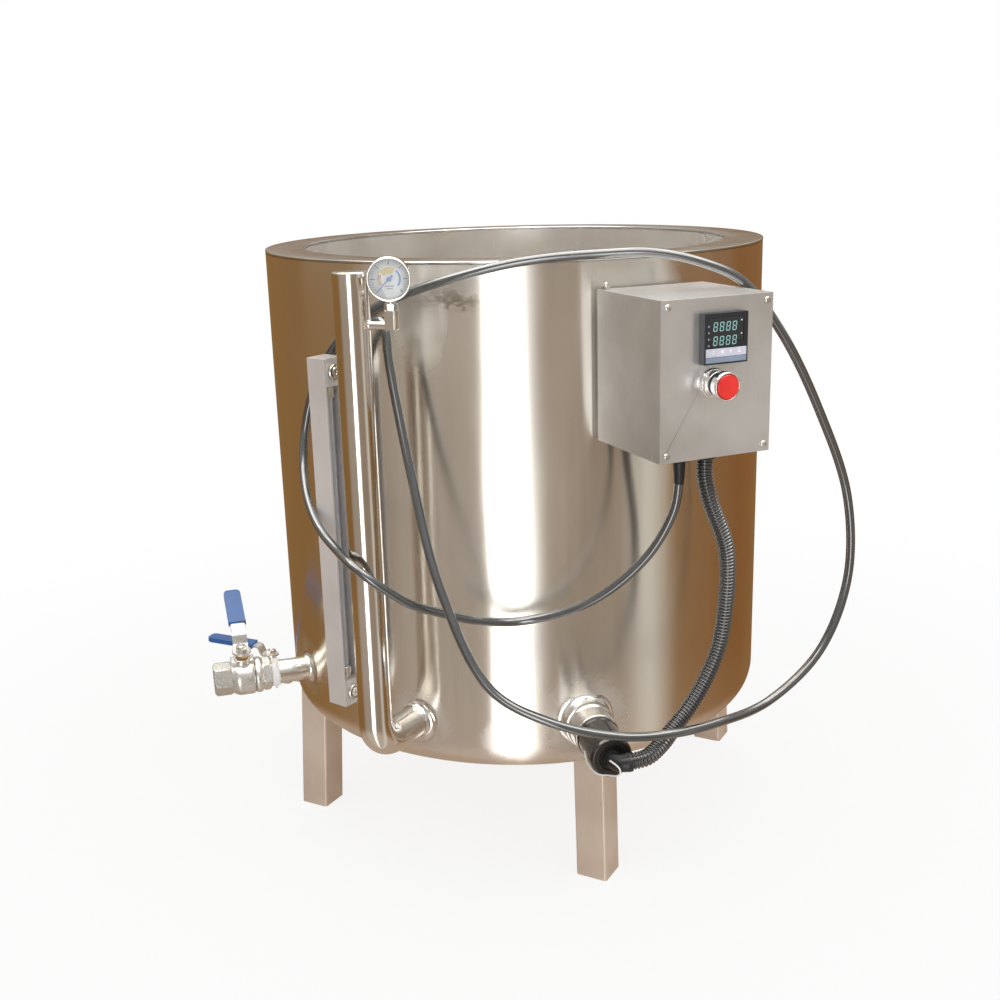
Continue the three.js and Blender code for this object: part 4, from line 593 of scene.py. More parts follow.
FACE_TOP, PRINT_THICK, SCALE_END, BAND_RADIUS = 4.5, 0.06, 135.0, 11.2
LEVEL = {
    "azimuth": -8.5, "middle": 337.0, "top": 612.0, "bottom": 223.0, "bolt_inset": 15.0, "tube_inset": 26.0,
    "nut_inset": 30.4, "nut": 12.6,
}
BALL_SHARE = 12.7 / 22
BIG_VALVE = {
    "roll": 10.0, "hex": 34.5, "hex_length": 21.0, "body": 22.0, "half": 13.5, "collar": 9.0,
    "collar_radius": 21.4, "end_hex": 10.0, "socket": 13.0, "depth": 15.0, "bonnet": 10.0, "bonnet_top": 27.0,
    "pad": (14.0, 27.0, 20.0, 25.5), "lever": 34.0, "nut": 12.0, "nut_height": 6.0, "stem": 4.0,
    "stem_top": 43.0,
}
SMALL_VALVE = {
    "roll": 0.0, "hex": 26.0, "hex_length": 14.0, "body": 16.0, "half": 11.0, "collar": 6.0,
    "collar_radius": 15.4, "end_hex": 12.0, "socket": 9.6, "depth": 10.0, "bonnet": 8.0, "bonnet_top": 20.0,
    "pad": (11.0, 22.0, 15.0, 18.8), "lever": 26.0, "nut": 11.0, "nut_height": 5.5, "stem": 3.4,
    "stem_top": 34.0,
}
BIG_LEVER = {
    "length": 113.7, "width": 17.5, "thick": 2.5, "rise": 12.0, "flat": 14.0, "ramp": 20.0, "incline": 5.0,
    "grip": 72.0, "grip_width": 20.5, "grip_thick": 6.6, "tail": 11.0, "turn": -90.0,
}
SMALL_LEVER = {
    "length": 97.0, "width": 16.0, "thick": 2.5, "rise": 12.0, "flat": 12.0, "ramp": 17.0, "incline": 4.5,
    "grip": 72.0, "grip_width": 19.0, "grip_thick": 6.6, "tail": 10.0, "turn": 0.0,
}
CABLE_ROUTE = [
    (306.8, -237.5, 488.8), (301.7, -238.7, 458.3), (274.7, -245.4, 407.7), (219.1, -261, 357.1),
    (147.3, -282.9, 331.8), (114.4, -314.9, 338.6), (90.3, -342.3, 351.5), (66.9, -373, 369.8),
    (50.1, -389.9, 388), (36.2, -399.5, 401.5), (18.1, -401.2, 413.4), (-14.4, -379.7, 418.3),
    (-45, -362.7, 429.7), (-65.6, -350.4, 444.8), (-84.5, -334, 462.4), (-103, -311.4, 489),
    (-106.9, -299, 523.1), (-95.6, -296.5, 564), (-58.8, -300.1, 619.1), (-6.8, -306.6, 657.8),
    (62.7, -301.2, 685), (150.2, -270.4, 707.4), (220.7, -234.6, 713.4), (266.6, -212.2, 713.4),
    (308.4, -189.6, 703.2), (343.5, -165.9, 683.2), (375, -133.1, 630.4), (405.3, -89.1, 544.6),
    (432.3, -54.6, 441.1), (436.8, -56.5, 347.3), (418.7, -90.4, 273.9), (382.1, -151.4, 232.1),
    (348.3, -227.4, 230.9), (317.3, -276.7, 234), (274.8, -312.4, 237.7), (215.1, -351.4, 258.1),
    (158.3, -370.7, 290.8), (102.1, -366, 385.1), (57.5, -343.2, 499.8), (32, -335.5, 615.2),
    (28.1, -331.8, 638.8), (18.9, -326, 650.3), (1.8, -319, 646.7), (-14.4, -315.2, 628.5),
    (-30.2, -312, 595.6), (-48.8, -308.2, 488),
]
CONDUIT_ROUTE = [
    (325.2, -213.8, 492.8), (330.6, -210.8, 465.9), (345.2, -200.2, 413.6), (344.7, -197, 351.3),
    (340.1, -202.9, 306.8), (330.6, -217.9, 271.3), (319.7, -235.4, 245.6), (308.4, -256.3, 225.5),
    (304.2, -272.6, 217.4), (295.8, -291.4, 209.6),
]


# Seats: an origin and three axes on which a group of pieces stands

class Seat:
    def __init__(self, origin, axes):
        self.origin, self.axes = np.asarray(origin, dtype=float), np.asarray(axes, dtype=float)

    def at(self, x, y, z):
        return self.origin + mm([x, y, z]) @ self.axes

    def turned(self, profile, spot=(0, 0, 0), axis=2, segments=48, shape=None, towards=None):
        along = self.axes[abs(axis)] * (1 if axis >= 0 else -1) if not isinstance(axis, tuple) else (
            np.array(axis, dtype=float) @ self.axes)
        side = self.axes[0] if towards is None else np.array(towards, dtype=float) @ self.axes
        return turned(profile, self.at(*spot), along, segments, side, shape)

    def boxed(self, low, high, edge):
        return boxed(low, high, edge, self.axes, self.origin)


def radial_seat(azimuth, reach=0.0, height=0.0):
    """X runs sideways, Y outwards from the tank and Z up."""
    return Seat(place(azimuth, reach, height), [sideways(azimuth), outward(azimuth), UP])


OUT = (0, 1, 0)
SIDE = (1, 0, 0)


def box_seat():
    return radial_seat(BOX["azimuth"])


def spline(points, per_span):
    """The centripetal Catmull-Rom curve through points.

    Between two points it is the cubic with their positions and the tangents that the distances to
    their neighbours, each to the power of a half, give.
    """
    p = np.asarray(points, dtype=float)
    p = np.concatenate([[2 * p[0] - p[1]], p, [2 * p[-1] - p[-2]]])
    step = np.linalg.norm(np.diff(p, axis=0), axis=1)[:, None] ** 0.5
    before, here, after = step[:-2], step[1:-1], step[2:]
    a, b, c, d = p[:-3], p[1:-2], p[2:-1], p[3:]
    start = ((b - a) / before - (c - a) / (before + here) + (c - b) / here) * here
    end = ((c - b) / here - (d - b) / (here + after) + (d - c) / after) * here
    t = (np.arange(per_span) / per_span)[None, :, None]
    b, c, start, end = (v[:, None] for v in (b, c, start, end))
    curve = (
        (2 * t**3 - 3 * t**2 + 1) * b + (t**3 - 2 * t**2 + t) * start
        + (3 * t**2 - 2 * t**3) * c + (t**3 - t**2) * end
    )
    return np.concatenate([curve.reshape(-1, 3), p[-2:-1]])


def evenly(path, spacing):
    """A path's points moved so that they lie the same distance apart."""
    run = np.concatenate([[0], np.cumsum(np.linalg.norm(np.diff(path, axis=0), axis=1))])
    spots = np.linspace(0, run[-1], max(2, int(round(run[-1] / spacing)) + 1))
    return np.stack([np.interp(spots, run, path[:, k]) for k in range(3)], axis=1)


def length_of(path):
    return float(np.linalg.norm(np.diff(path, axis=0), axis=1).sum())


# Cords

def under_gland(x):
    return np.array(box_seat().at(x, 388.0, 510.8))


def tank_frame(points):
    return AXIS + mm(points)


def make_cable(sizes):
    top = place(-9.0, 312.0, 466.3)
    route = np.concatenate([[under_gland(0.0)], tank_frame(CABLE_ROUTE), [top]])
    path = evenly(spline(route, 24), 0.0045)
    piece = build("supply_cable_sheath", [swept(path, 4.8, 20)], "cable_black", node="supply_cable", sharp=50)
    sleeve = path[:6]
    taper = np.interp(np.arange(len(sleeve)), [0, 1, 4, 5], [6.3, 6.0, 5.2, 5.0])
    relief = build("cable_strain_relief", [swept(sleeve, taper, 24)], "nylon", sharp=40)
    seat = radial_seat(-9.0, 312.0, 466.0)
    body = [seat.boxed((-15, -10, -56), (15, 10, -16), 3.6)]
    neck = rounded([(0, -17.5), (7.4, -17.5), (7.0, -12), (6.2, -4), (5.4, 0), (4.9, 0), (0, 0)], 1.2)
    body.append(seat.turned(neck, segments=40))
    body += [
        seat.turned([(5.2, z), (7.5, z), (7.5, z + 1.6), (5.2, z + 1.6)], segments=40)
        for z in (-6.5, -10, -13.5)]
    shell = build("plug_body", body, "boot_rubber", node="plug")
    pins = [
        seat.turned(
            [(0, -55), (2.2, -55), (2.2, -71.2), (1.6, -72.6), (0, -73)], (side * 8.5, 0, 0), segments=24)
        for side in (-1, 1)
    ]
    pins = build("plug_pins", pins, "brass")
    length_of(path)


def elbow_way():
    tilt = radians(9.0)
    return sideways(HEATER["azimuth"]) * cos(tilt) + UP * sin(tilt)


def elbow_corner():
    return place(HEATER["azimuth"], 414.0, HEATER["height"])


def make_conduit(sizes):
    end = elbow_corner() + elbow_way() * mm(14.8)
    route = np.concatenate([[under_gland(30.0)], tank_frame(CONDUIT_ROUTE), [end]])
    path = spline(route, 40)
    count = int(round(length_of(path) / 0.0035)) * 10
    path = evenly(path, length_of(path) / count)
    beat = 2 * np.pi * np.arange(len(path)) / 10
    crest = sizes.conduit_radius * 1000
    radius = crest - sizes.rib_depth * 1000 * (0.5 - 0.5 * np.cos(beat)) ** 1.4
    piece = build("conduit_ribbed", [swept(path, radius, 28)], "conduit_black", node="conduit", sharp=60)
    length_of(path)


# Tank

def knuckle(offset, steps, down):
    """The bottom's profile from its middle to the wall: flat, then a quarter circle."""
    radius, bend = TANK["radius"] - offset, TANK["knuckle"] - offset
    turn = np.linspace(-np.pi / 2, 0, steps + 1)
    middle, rise = radius - bend, TANK["bottom"] + TANK["knuckle"]
    arc = np.stack([middle + bend * np.cos(turn), rise + bend * np.sin(turn)], axis=1)
    flat = np.array([[0, TANK["bottom"] + offset], [middle * 0.5, TANK["bottom"] + offset]])
    profile = np.concatenate([flat, arc])
    return profile[::-1] if down else profile


def wavy(depth):
    """Sheet that isn't quite round: three slow waves round it that wander with height."""
    def shape(radius, height, angle):
        wave = (
            np.sin(5 * angle + height / 170) + 0.7 * np.sin(11 * angle - height / 90)
            + 0.45 * np.sin(23 * angle + height / 60 + 1)
        )
        return radius - depth * (1 + wave / 2.15) * (radius > TANK["radius"] * 0.8), height
    return shape


def make_shell(sizes):
    wall = np.linspace(TANK["bottom"] + TANK["knuckle"] + 8, TANK["top"] - TANK["rim"] - 0.3, 40)
    outside = np.stack([np.full_like(wall, TANK["radius"]), wall], axis=1)
    inside = [[TANK["radius"] - TANK["wall"] - 0.6, wall[-1]], [TANK["radius"] - TANK["wall"] - 0.6, wall[0]]]
    profile = np.concatenate([knuckle(0, 16, False), outside, inside, knuckle(TANK["wall"] + 0.6, 12, True)])
    shell = turned(profile, AXIS, UP, 288, sideways(0), wavy(sizes.sheet_wave * 1000))
    build("tank_shell", [shell], "shell", node="outer_shell")


def make_pot(sizes):
    turn = np.linspace(0, np.pi / 2, 10)
    top = TANK["top"] - TANK["rim"] - 0.3
    radius, floor, bend, wall = POT["radius"], POT["floor"], POT["knuckle"], POT["wall"]
    inner = np.stack([radius - bend + bend * np.cos(turn), floor + bend - bend * np.sin(turn)], axis=1)
    outer = np.stack([
        radius - bend + (bend + wall) * np.cos(turn), floor + bend - (bend + wall) * np.sin(turn)], axis=1)
    profile = np.concatenate([
        [[radius, top]], [[radius, (top + floor) / 2]], inner,
        [[90, floor], [16.5, floor - 1.2], [14.6, floor - 1.8]],
        [[14.6, floor - wall]], outer[::-1], [[radius + wall, top]],
    ])
    build("pot_liner", [turned(profile, AXIS, UP, 192, sideways(0))], "pot_steel", node="inner_pot")
    low, high = TANK["top"] - TANK["rim"], TANK["top"]
    outline = [
        (radius, low + 1.5), (radius, low), (TANK["radius"], low), (TANK["radius"], high), (radius, high),
        (radius, low + 1.5)]
    rim = turned(rounded(outline, sizes.rim_edge * 1000, 6)[:-1], AXIS, UP, 256, sideways(0))
    seam = turned([
        (radius - 0.2, high - 0.6), (radius + 1.4, high - 0.5), (radius + 1.2, high + 0.1),
        (radius + 0.2, high + 0.1),
    ], AXIS, UP, 256, sideways(0), ripple(180, 0.12, 2.0))
    build("rim_plate", [rim, seam], "rim_steel", node="rim_ring")


def shell_underside(reach):
    """Height of the shell's outside, less a gap, at a distance from its axis."""
    bend, middle = TANK["knuckle"] + 0.4, TANK["radius"] - TANK["knuckle"]
    out = np.clip(reach - middle, 0, bend - 0.01)
    return TANK["bottom"] + TANK["knuckle"] - np.sqrt(bend ** 2 - out ** 2)


def rounded_square(half, corner, count=6):
    turn = np.linspace(0, np.pi / 2, count)
    arc = np.stack([half - corner + corner * np.cos(turn), half - corner + corner * np.sin(turn)], axis=1)
    spin = [np.array([[cos(a), sin(a)], [-sin(a), cos(a)]]) for a in np.arange(4) * np.pi / 2]
    return np.concatenate([arc @ s for s in spin])


def make_legs(sizes):
    """Square tubes: a rounded square carried up and leaned, cut off where it meets the shell."""
    lean = tan(radians(LEG["splay"])) / np.sqrt(2)
    corner = sizes.leg_corner * 1000
    outside = (LEG["half"], corner)
    inside = (LEG["half"] - LEG["wall"], max(0.4, corner - LEG["wall"]))
    for side, sx in (("left", -1), ("right", 1)):
        for end, sy in (("front", -1), ("rear", 1)):
            loops = []
            for half, bend in (outside, inside):
                ring = rounded_square(half, bend)
                at = ring + np.array([sx, sy]) * LEG["foot"]
                top = shell_underside(np.hypot(*(at - np.array([sx, sy]) * lean * LEG["seat"]).T))
                share = np.concatenate([[0, 0.004], np.linspace(0.05, 1, 9)])[:, None]
                z = share * top
                loops.append(np.stack([
                    at[:, 0] - sx * lean * z, at[:, 1] - sy * lean * z, z], axis=-1))
            grid = np.concatenate([loops[0], loops[1][::-1]])
            name = f"leg_{end}_{side}"
            piece = build(name + "_tube", [solid(AXIS + mm(grid), wrap_rows=True)], "leg_steel", node=name)


# Drains and their valves

def drain_points():
    kink = place(DRAIN["azimuth"], DRAIN["kink"], DRAIN["height"])
    return kink, outward(DRAIN["turned"])


def tilted_seat(origin, azimuth, roll):
    """The valve's seat: Y outwards along the pipe and Z along the stem, leaned over by roll."""
    side, lean = sideways(azimuth), radians(roll)
    return Seat(
        origin, [side * cos(lean) - UP * sin(lean), outward(azimuth), side * sin(lean) + UP * cos(lean)])


def threads(inner, outer, start, end, pitch):
    """A profile of a threaded bore, from its mouth inwards."""
    spots = np.arange(start, end, pitch / 2)
    return np.stack([np.where(np.arange(len(spots)) % 2, inner, outer), spots], axis=1)


def valve_body(seat, v, whole):
    """The casting: a barrel with a hexagon outlet, a bonnet about the stem and a stop pad."""
    half, reach = v["half"], v["half"] + v["hex_length"]
    flat = v["hex"] / 2
    barrel = rounded([
        (0, -half), (v["body"] - 1.5, -half), (v["body"], -half + 3), (v["body"], half - 7),
        (flat * 1.02, half + 1), (flat * 0.9, half + 4), (0, half + 4),
    ], 3.0, 5)
    bore = threads(v["socket"], v["socket"] + 0.9, reach - 0.4, reach - v["depth"], -1.8)
    outlet = np.concatenate([
        hex_profile(v["hex"], half - 1, reach, 2.6, bore=v["socket"] + 1.2)[1:-1],
        [[v["socket"] + 1.4, reach]], bore,
        [[v["socket"] - 4, reach - v["depth"]], [v["socket"] - 4, half - 1]],
    ])
    bonnet = rounded([
        (0, 4), (v["bonnet"] + 4.5, 4), (v["bonnet"] + 2.2, v["body"] - 3), (v["bonnet"], v["body"] + 0.5),
        (v["bonnet"], v["bonnet_top"]), (0, v["bonnet_top"]),
    ], 2.2, 5)
    width, length, low, high = v["pad"]
    patches = [
        seat.turned(barrel, axis=OUT, segments=72),
        seat.turned(outlet, axis=OUT, segments=96, shape=hexagonal(v["hex"]), towards=SIDE),
        seat.turned(bonnet, segments=48),
        seat.boxed((-width / 2, -length / 2, low), (width / 2, length / 2, high), 1.3),
    ]
    if whole:
        patches += valve_end(seat, v, gap=0.0)
    return patches


def valve_end(seat, v, gap=0.3):
    start = -(v["half"] + gap)
    mid, end = start - v["collar"], start - v["collar"] - v["end_hex"]
    collar = rounded([
        (0, start), (v["collar_radius"] - 1, start), (v["collar_radius"], start - 2),
        (v["collar_radius"], mid + 2.5),
        (v["hex"] / 2 * 0.98, mid - 1.5), (0, mid - 1.5),
    ], 1.6, 5)
    nut = hex_profile(v["hex"], end, mid + 1, 2.4, bore=v["socket"] + 1.8)
    return [
        seat.turned(collar, axis=OUT, segments=72),
        seat.turned(nut, axis=OUT, segments=96, shape=hexagonal(v["hex"]), towards=SIDE),
    ]


def on_straight(lever, reach, above):
    """A point of the raised straight as (reach, height), before its incline turns it about the ramp's end."""
    climb = radians(lever["incline"])
    along = np.asarray(reach) - lever["ramp"]
    return np.stack([
        lever["ramp"] + along * cos(climb) - above * sin(climb),
        lever["rise"] + along * sin(climb) + above * cos(climb)], axis=-1)


def lever_path(lever):
    """The plate's middle line as (reach, height): flat at the stem, a ramp, then the raised straight."""
    half = lever["thick"] / 2
    line = [(-lever["tail"], half), (0, half), (lever["flat"], half), (lever["ramp"], lever["rise"] + half)]
    line = rounded([*line, on_straight(lever, lever["length"] - 2.5, half)], 3.0, 6)
    run = np.concatenate([[0], np.cumsum(np.linalg.norm(np.diff(line, axis=0), axis=1))])
    spots = np.unique(np.concatenate([
        np.linspace(0, 2 * lever["tail"], 28), run, np.linspace(run[-1] - lever["width"] / 2, run[-1], 14)]))
    return np.stack([np.interp(spots, run, line[:, k]) for k in (0, 1)], axis=1), spots, run[-1]


def plate(seat, line, half_width, half_thick):
    """A flat bar along a line in the seat's Y and Z: at each station a rounded rectangle across it."""
    turn = circle(32)
    box_x = np.sign(np.cos(turn)) * np.minimum(1, np.abs(np.cos(turn)) * 1.9) ** 0.9
    box_z = np.sign(np.sin(turn)) * np.minimum(1, np.abs(np.sin(turn)) * 2.6) ** 0.9
    rise = unit(np.gradient(line, axis=0))
    normal = np.stack([-rise[:, 1], rise[:, 0]], axis=1)
    points = np.empty((len(line), len(turn), 3))
    points[..., 0] = box_x * half_width[:, None]
    offset = box_z * half_thick[:, None]
    points[..., 1] = line[:, :1] + normal[:, :1] * offset
    points[..., 2] = line[:, 1:] + normal[:, 1:] * offset
    ends = [points[k].mean(axis=0)[None, None] + np.zeros((1, len(turn), 3)) for k in (0, -1)]
    return solid(seat.origin + mm(np.concatenate([ends[0], points, ends[1]])) @ seat.axes)


def make_lever(prefix, seat, v, lever, body):
    """The lever, turned about the stem: a plate, its dipped sleeve, the stem's nut and the stem."""
    angle = radians(lever["turn"])
    x, y, z = seat.axes
    turned_axes = [x * cos(angle) - y * sin(angle), y * cos(angle) + x * sin(angle), z]
    arm = Seat(seat.at(0, 0, v["lever"]), turned_axes)
    line, spots, total = lever_path(lever)
    reach = line[:, 0]
    disc = np.sqrt(np.clip(lever["tail"] ** 2 - reach ** 2, 0.04, None))
    half_width = np.where(reach > 0, np.maximum(disc * (reach < lever["tail"]), lever["width"] / 2), disc)
    tip = np.clip(spots - (total - lever["width"] / 2), 0, lever["width"] / 2 - 0.02)
    half_width = np.where(tip > 0, np.sqrt((lever["width"] / 2) ** 2 - tip ** 2), half_width)
    bar = plate(arm, line, half_width, np.full(len(line), lever["thick"] / 2))
    build(f"{prefix}_lever_plate", [bar], "lever_steel", body, f"{prefix}_lever", 40)
    start, half = lever["length"] - lever["grip"], lever["grip_width"] / 2
    along = np.concatenate([
        start + np.array([0, 0.3, 1.0, 2.2, 4]), np.linspace(start + 8, lever["length"] - half, 14),
        lever["length"] - half + half * np.sin(np.linspace(0.1, np.pi / 2 - 0.02, 14)),
    ])
    mouth = np.interp(along - start, [0, 0.3, 1, 2.2], [0.90, 0.97, 1.05, 1.0])
    past = np.clip((along - (lever["length"] - half)) / half, 0, 0.9999)
    wide = half * np.sqrt(1 - past ** 2) * mouth
    thick = lever["grip_thick"] / 2 * (1 - past ** 6) ** 0.5 * mouth
    sleeve = plate(arm, on_straight(lever, along, lever["thick"] / 2), wide, thick)
    grip = build(f"{prefix}_grip_sleeve", [sleeve], "vinyl", body, f"{prefix}_lever_grip", 60)
    smooth = grip.modifiers.new("Round", "SUBSURF")
    smooth.levels = smooth.render_levels = 1
    base = v["lever"] + lever["thick"] + 0.3
    nut = seat.turned(
        hex_profile(v["nut"], base, base + v["nut_height"], 1.2, bore=v["stem"] + 0.1), segments=96,
        shape=hexagonal(v["nut"]))
    washer = seat.turned([
        (v["stem"] + 0.2, base - 0.3), (v["nut"] * 0.62, base - 0.3), (v["nut"] * 0.62, base + 0.5),
        (v["stem"] + 0.2, base + 0.5)], segments=64)
    build(f"{prefix}_stem_nut", [nut, washer], "bolt_steel", body, f"{prefix}_lever_nut")
    low = 4.0
    stem = seat.turned(rounded([
        (0, low), (v["stem"] - 0.1, low), (v["stem"] - 0.1, v["stem_top"] - 0.9),
        (v["stem"] - 0.9, v["stem_top"]), (0, v["stem_top"])], 0.3),
        segments=36)
    ball_radius, sweep = v["body"] * BALL_SHARE, np.linspace(0, np.pi, 25)
    ball = np.stack([ball_radius * np.sin(sweep), -ball_radius * np.cos(sweep)], axis=1)
    ball = seat.turned(ball, segments=48)
    build(f"{prefix}_stem_and_ball", [stem, ball], "chrome", body, f"{prefix}_valve_ball")


def make_pot_drain(sizes):
    kink, way = drain_points()
    corners = [AXIS + UP * mm(POT["floor"]), AXIS + UP * mm(DRAIN["height"]), kink, kink + way * mm(35.0)]
    corners = [(c - AXIS) * 1000 for c in corners]
    path = AXIS + mm(np.concatenate([bent(corners[:3], 26, 14)[:-1], bent(corners[1:], 60, 10)[1:]]))
    pipe = swept(path, DRAIN["radius"], 48)
    base = place(DRAIN["azimuth"], 0, DRAIN["height"])
    weld = bead(DRAIN["radius"], 21.5, 299.4, 306.0, base, outward(DRAIN["azimuth"]), 26, 0.4)
    build("pot_drain_tube", [pipe, weld], "pipe_steel", node="pot_drain_pipe", sharp=50)
    tape = tape_patches(kink, way, sizes)
    build("thread_tape", tape, "tape_white", sharp=70)
    seat = tilted_seat(kink + way * mm(DRAIN["valve"]), DRAIN["turned"], BIG_VALVE["roll"])
    casting, inlet = valve_body(seat, BIG_VALVE, False), valve_end(seat, BIG_VALVE)
    build("drain_valve_casting", casting, "cast_steel", node="drain_valve_body", sharp=32)
    build("drain_valve_inlet", inlet, "cast_steel", node="drain_valve_end", sharp=32)
    packing = seat.turned(hex_profile(13.0, 27.3, 32.3, 0.9, bore=4.7), segments=96, shape=hexagonal(13.0))
    build("drain_packing_hexagon", [packing], "brass", node="drain_packing_nut")
    make_lever("drain", seat, BIG_VALVE, BIG_LEVER, "drain_handle")


def tape_patches(kink, way, sizes):
    """Thread tape: a few uneven turns behind the valve and a short ragged tail that hangs from them."""
    def ragged(radius, height, angle):
        tear = 0.35 * np.sin(angle * 7 + 1.3) + 0.25 * np.sin(angle * 16)
        side = (height - height.mean()) / np.ptp(height) * 2
        return radius + 0.12 * np.sin(angle * 5 + height) + 0.15 * tear, height + tear * side ** 3
    end = DRAIN["valve"] - BIG_VALVE["half"] - BIG_VALVE["collar"] - BIG_VALVE["end_hex"] - 0.7
    outer = DRAIN["radius"] + sizes.tape_thickness * 1000
    profile = rounded([
        (DRAIN["radius"] - 0.2, end - 9.6), (outer - 0.9, end - 9.4), (outer, end - 7.0),
        (outer + 0.3, end - 4.0),
        (outer - 0.2, end - 0.9), (outer - 1.0, end), (DRAIN["radius"] - 0.2, end),
    ], 0.8, 3)
    turns = turned(profile, kink, way, 160, shape=ragged)
    drop, spread = np.meshgrid(np.linspace(0, 1, 12), np.linspace(-1, 1, 9), indexing="ij")
    along = end - 5.0 + spread * (3.0 - 2.0 * drop) - 0.8 * drop ** 2
    sway = 1.5 + 1.2 * np.sin(drop * 5) + 0.4 * spread * drop
    fall = -(outer - 1.5) - drop * 6.0 + 0.5 * np.sin(spread * 5 + drop * 3) * drop
    reach = np.cross(way, UP)
    front = kink + mm(along)[..., None] * way - mm(sway)[..., None] * reach + mm(fall)[..., None] * UP
    sheet = np.concatenate([front, (front + mm(0.35) * reach)[:, ::-1]], axis=1)
    ends = [sheet[k].mean(axis=0)[None, None] + np.zeros((1, sheet.shape[1], 3)) for k in (0, -1)]
    return [turns, solid(np.concatenate([ends[0], sheet, ends[1]]))]


def make_jacket_drain(sizes):
    low, out = JACKET["height"], JACKET["azimuth"]
    corners = [place(out, JACKET["socket"], 142.0), place(out, JACKET["socket"], low), place(out, 345.0, low)]
    path = AXIS + mm(bent([(c - AXIS) * 1000 for c in corners], 20, 12))
    base = place(out, JACKET["socket"], 0.0)
    weld = bead(JACKET["radius"], 16.0, 140.0, 135.5, base, UP, 20, 1.1)
    pipe = [swept(path, JACKET["radius"], 40), weld]
    build("jacket_drain_tube", pipe, "pipe_steel", node="jacket_drain_pipe", sharp=50)
    seat = tilted_seat(place(out, JACKET["valve"], low), out, 0.0)
    casting = valve_body(seat, SMALL_VALVE, True)
    build("jacket_valve_casting", casting, "cast_steel", node="jacket_valve_body", sharp=32)
    make_lever("jacket", seat, SMALL_VALVE, SMALL_LEVER, "jacket_handle")


# Standpipe and dial gauge

def make_standpipe(sizes):
    start = place(STANDPIPE["weld"], 296.0, STANDPIPE["stub"])
    corner = place(STANDPIPE["azimuth"], STANDPIPE["reach"], STANDPIPE["stub"])
    top = place(STANDPIPE["azimuth"], STANDPIPE["reach"], STANDPIPE["top"])
    path = AXIS + mm(bent([(p - AXIS) * 1000 for p in (start, corner, top)], 30, 28))
    upper = np.linspace(0, 1, 30)[1:, None]
    path = np.concatenate([path[:-1], path[-2] + (path[-1] - path[-2]) * upper])
    radius = np.full(len(path), STANDPIPE["radius"])
    edge = sizes.pipe_edge * 1000
    turn = np.linspace(0, np.pi / 2, 6)[1:]
    cap = path[-1] - UP * mm(edge * (1 - np.sin(turn)))[:, None]
    path = np.concatenate([path[:-1], [path[-1] - UP * mm(edge)], cap])
    radius = np.concatenate([radius, STANDPIPE["radius"] - edge * (1 - np.cos(turn))])
    low = np.linalg.norm(path - corner, axis=1) * 1000
    radius = radius + 1.0 * np.exp(-(low / 26) ** 4)
    pipe = swept(path, radius, 72)
    way = unit(corner - start)
    collar = bead(STANDPIPE["radius"], 26.0, 0.5, 7.0, start + way * mm(3.2), way, 24, 0.9)
    seat = radial_seat(STANDPIPE["azimuth"], STANDPIPE["reach"], 653.0)
    ahead = outward(DIAL["arm_azimuth"])
    run = [seat.origin + ahead * mm(s) for s in (10.0, 20.0, DIAL["arm"])]
    arm = swept(evenly(np.array(run), 0.002), 4.0, 32)
    knot = bead(4.0, 7.4, 17.2, 21.5, seat.origin, ahead, 10, 0.3, 64)
    foot = seat.origin + ahead * mm(DIAL["arm"])
    side = np.cross(UP, ahead)
    block = boxed((-5.5, -5.5, -4.0), (5.5, 5.5, 15.5), 0.9, [side, ahead, UP], foot)
    build("standpipe_tube", [pipe, collar, arm, knot], "standpipe_steel", node="standpipe", sharp=50)
    build("gauge_block", [block], "chrome", sharp=35)


def dial_seat():
    """X runs across the dial, Y up it and Z out of its face."""
    pipe = place(STANDPIPE["azimuth"], STANDPIPE["reach"], DIAL["height"])
    foot = pipe + outward(DIAL["arm_azimuth"]) * mm(DIAL["arm"])
    return Seat(foot, [sideways(DIAL["facing"]), UP, outward(DIAL["facing"])])


def flat_marks(seat, shapes, lift, thick):
    """Flat printed marks: each outline is carried from lift up by thick."""
    patches = []
    for outline in shapes:
        outline = np.asarray(outline, dtype=float)
        rings = np.stack([np.column_stack([outline, np.full(len(outline), z)]) for z in (lift, lift + thick)])
        ends = [np.broadcast_to(rings[k].mean(axis=0), (1, len(outline), 3)) for k in (0, 1)]
        patches.append(solid(seat.origin + mm(np.concatenate([ends[0], rings, ends[1]])) @ seat.axes))
    return patches


def bar_at(angle, inner, outer, width):
    """A bar on a dial at an angle from straight up, clockwise."""
    way = np.array([sin(radians(angle)), cos(radians(angle))])
    side = np.array([way[1], -way[0]]) * width / 2
    return [way * inner - side, way * outer - side, way * outer + side, way * inner + side]


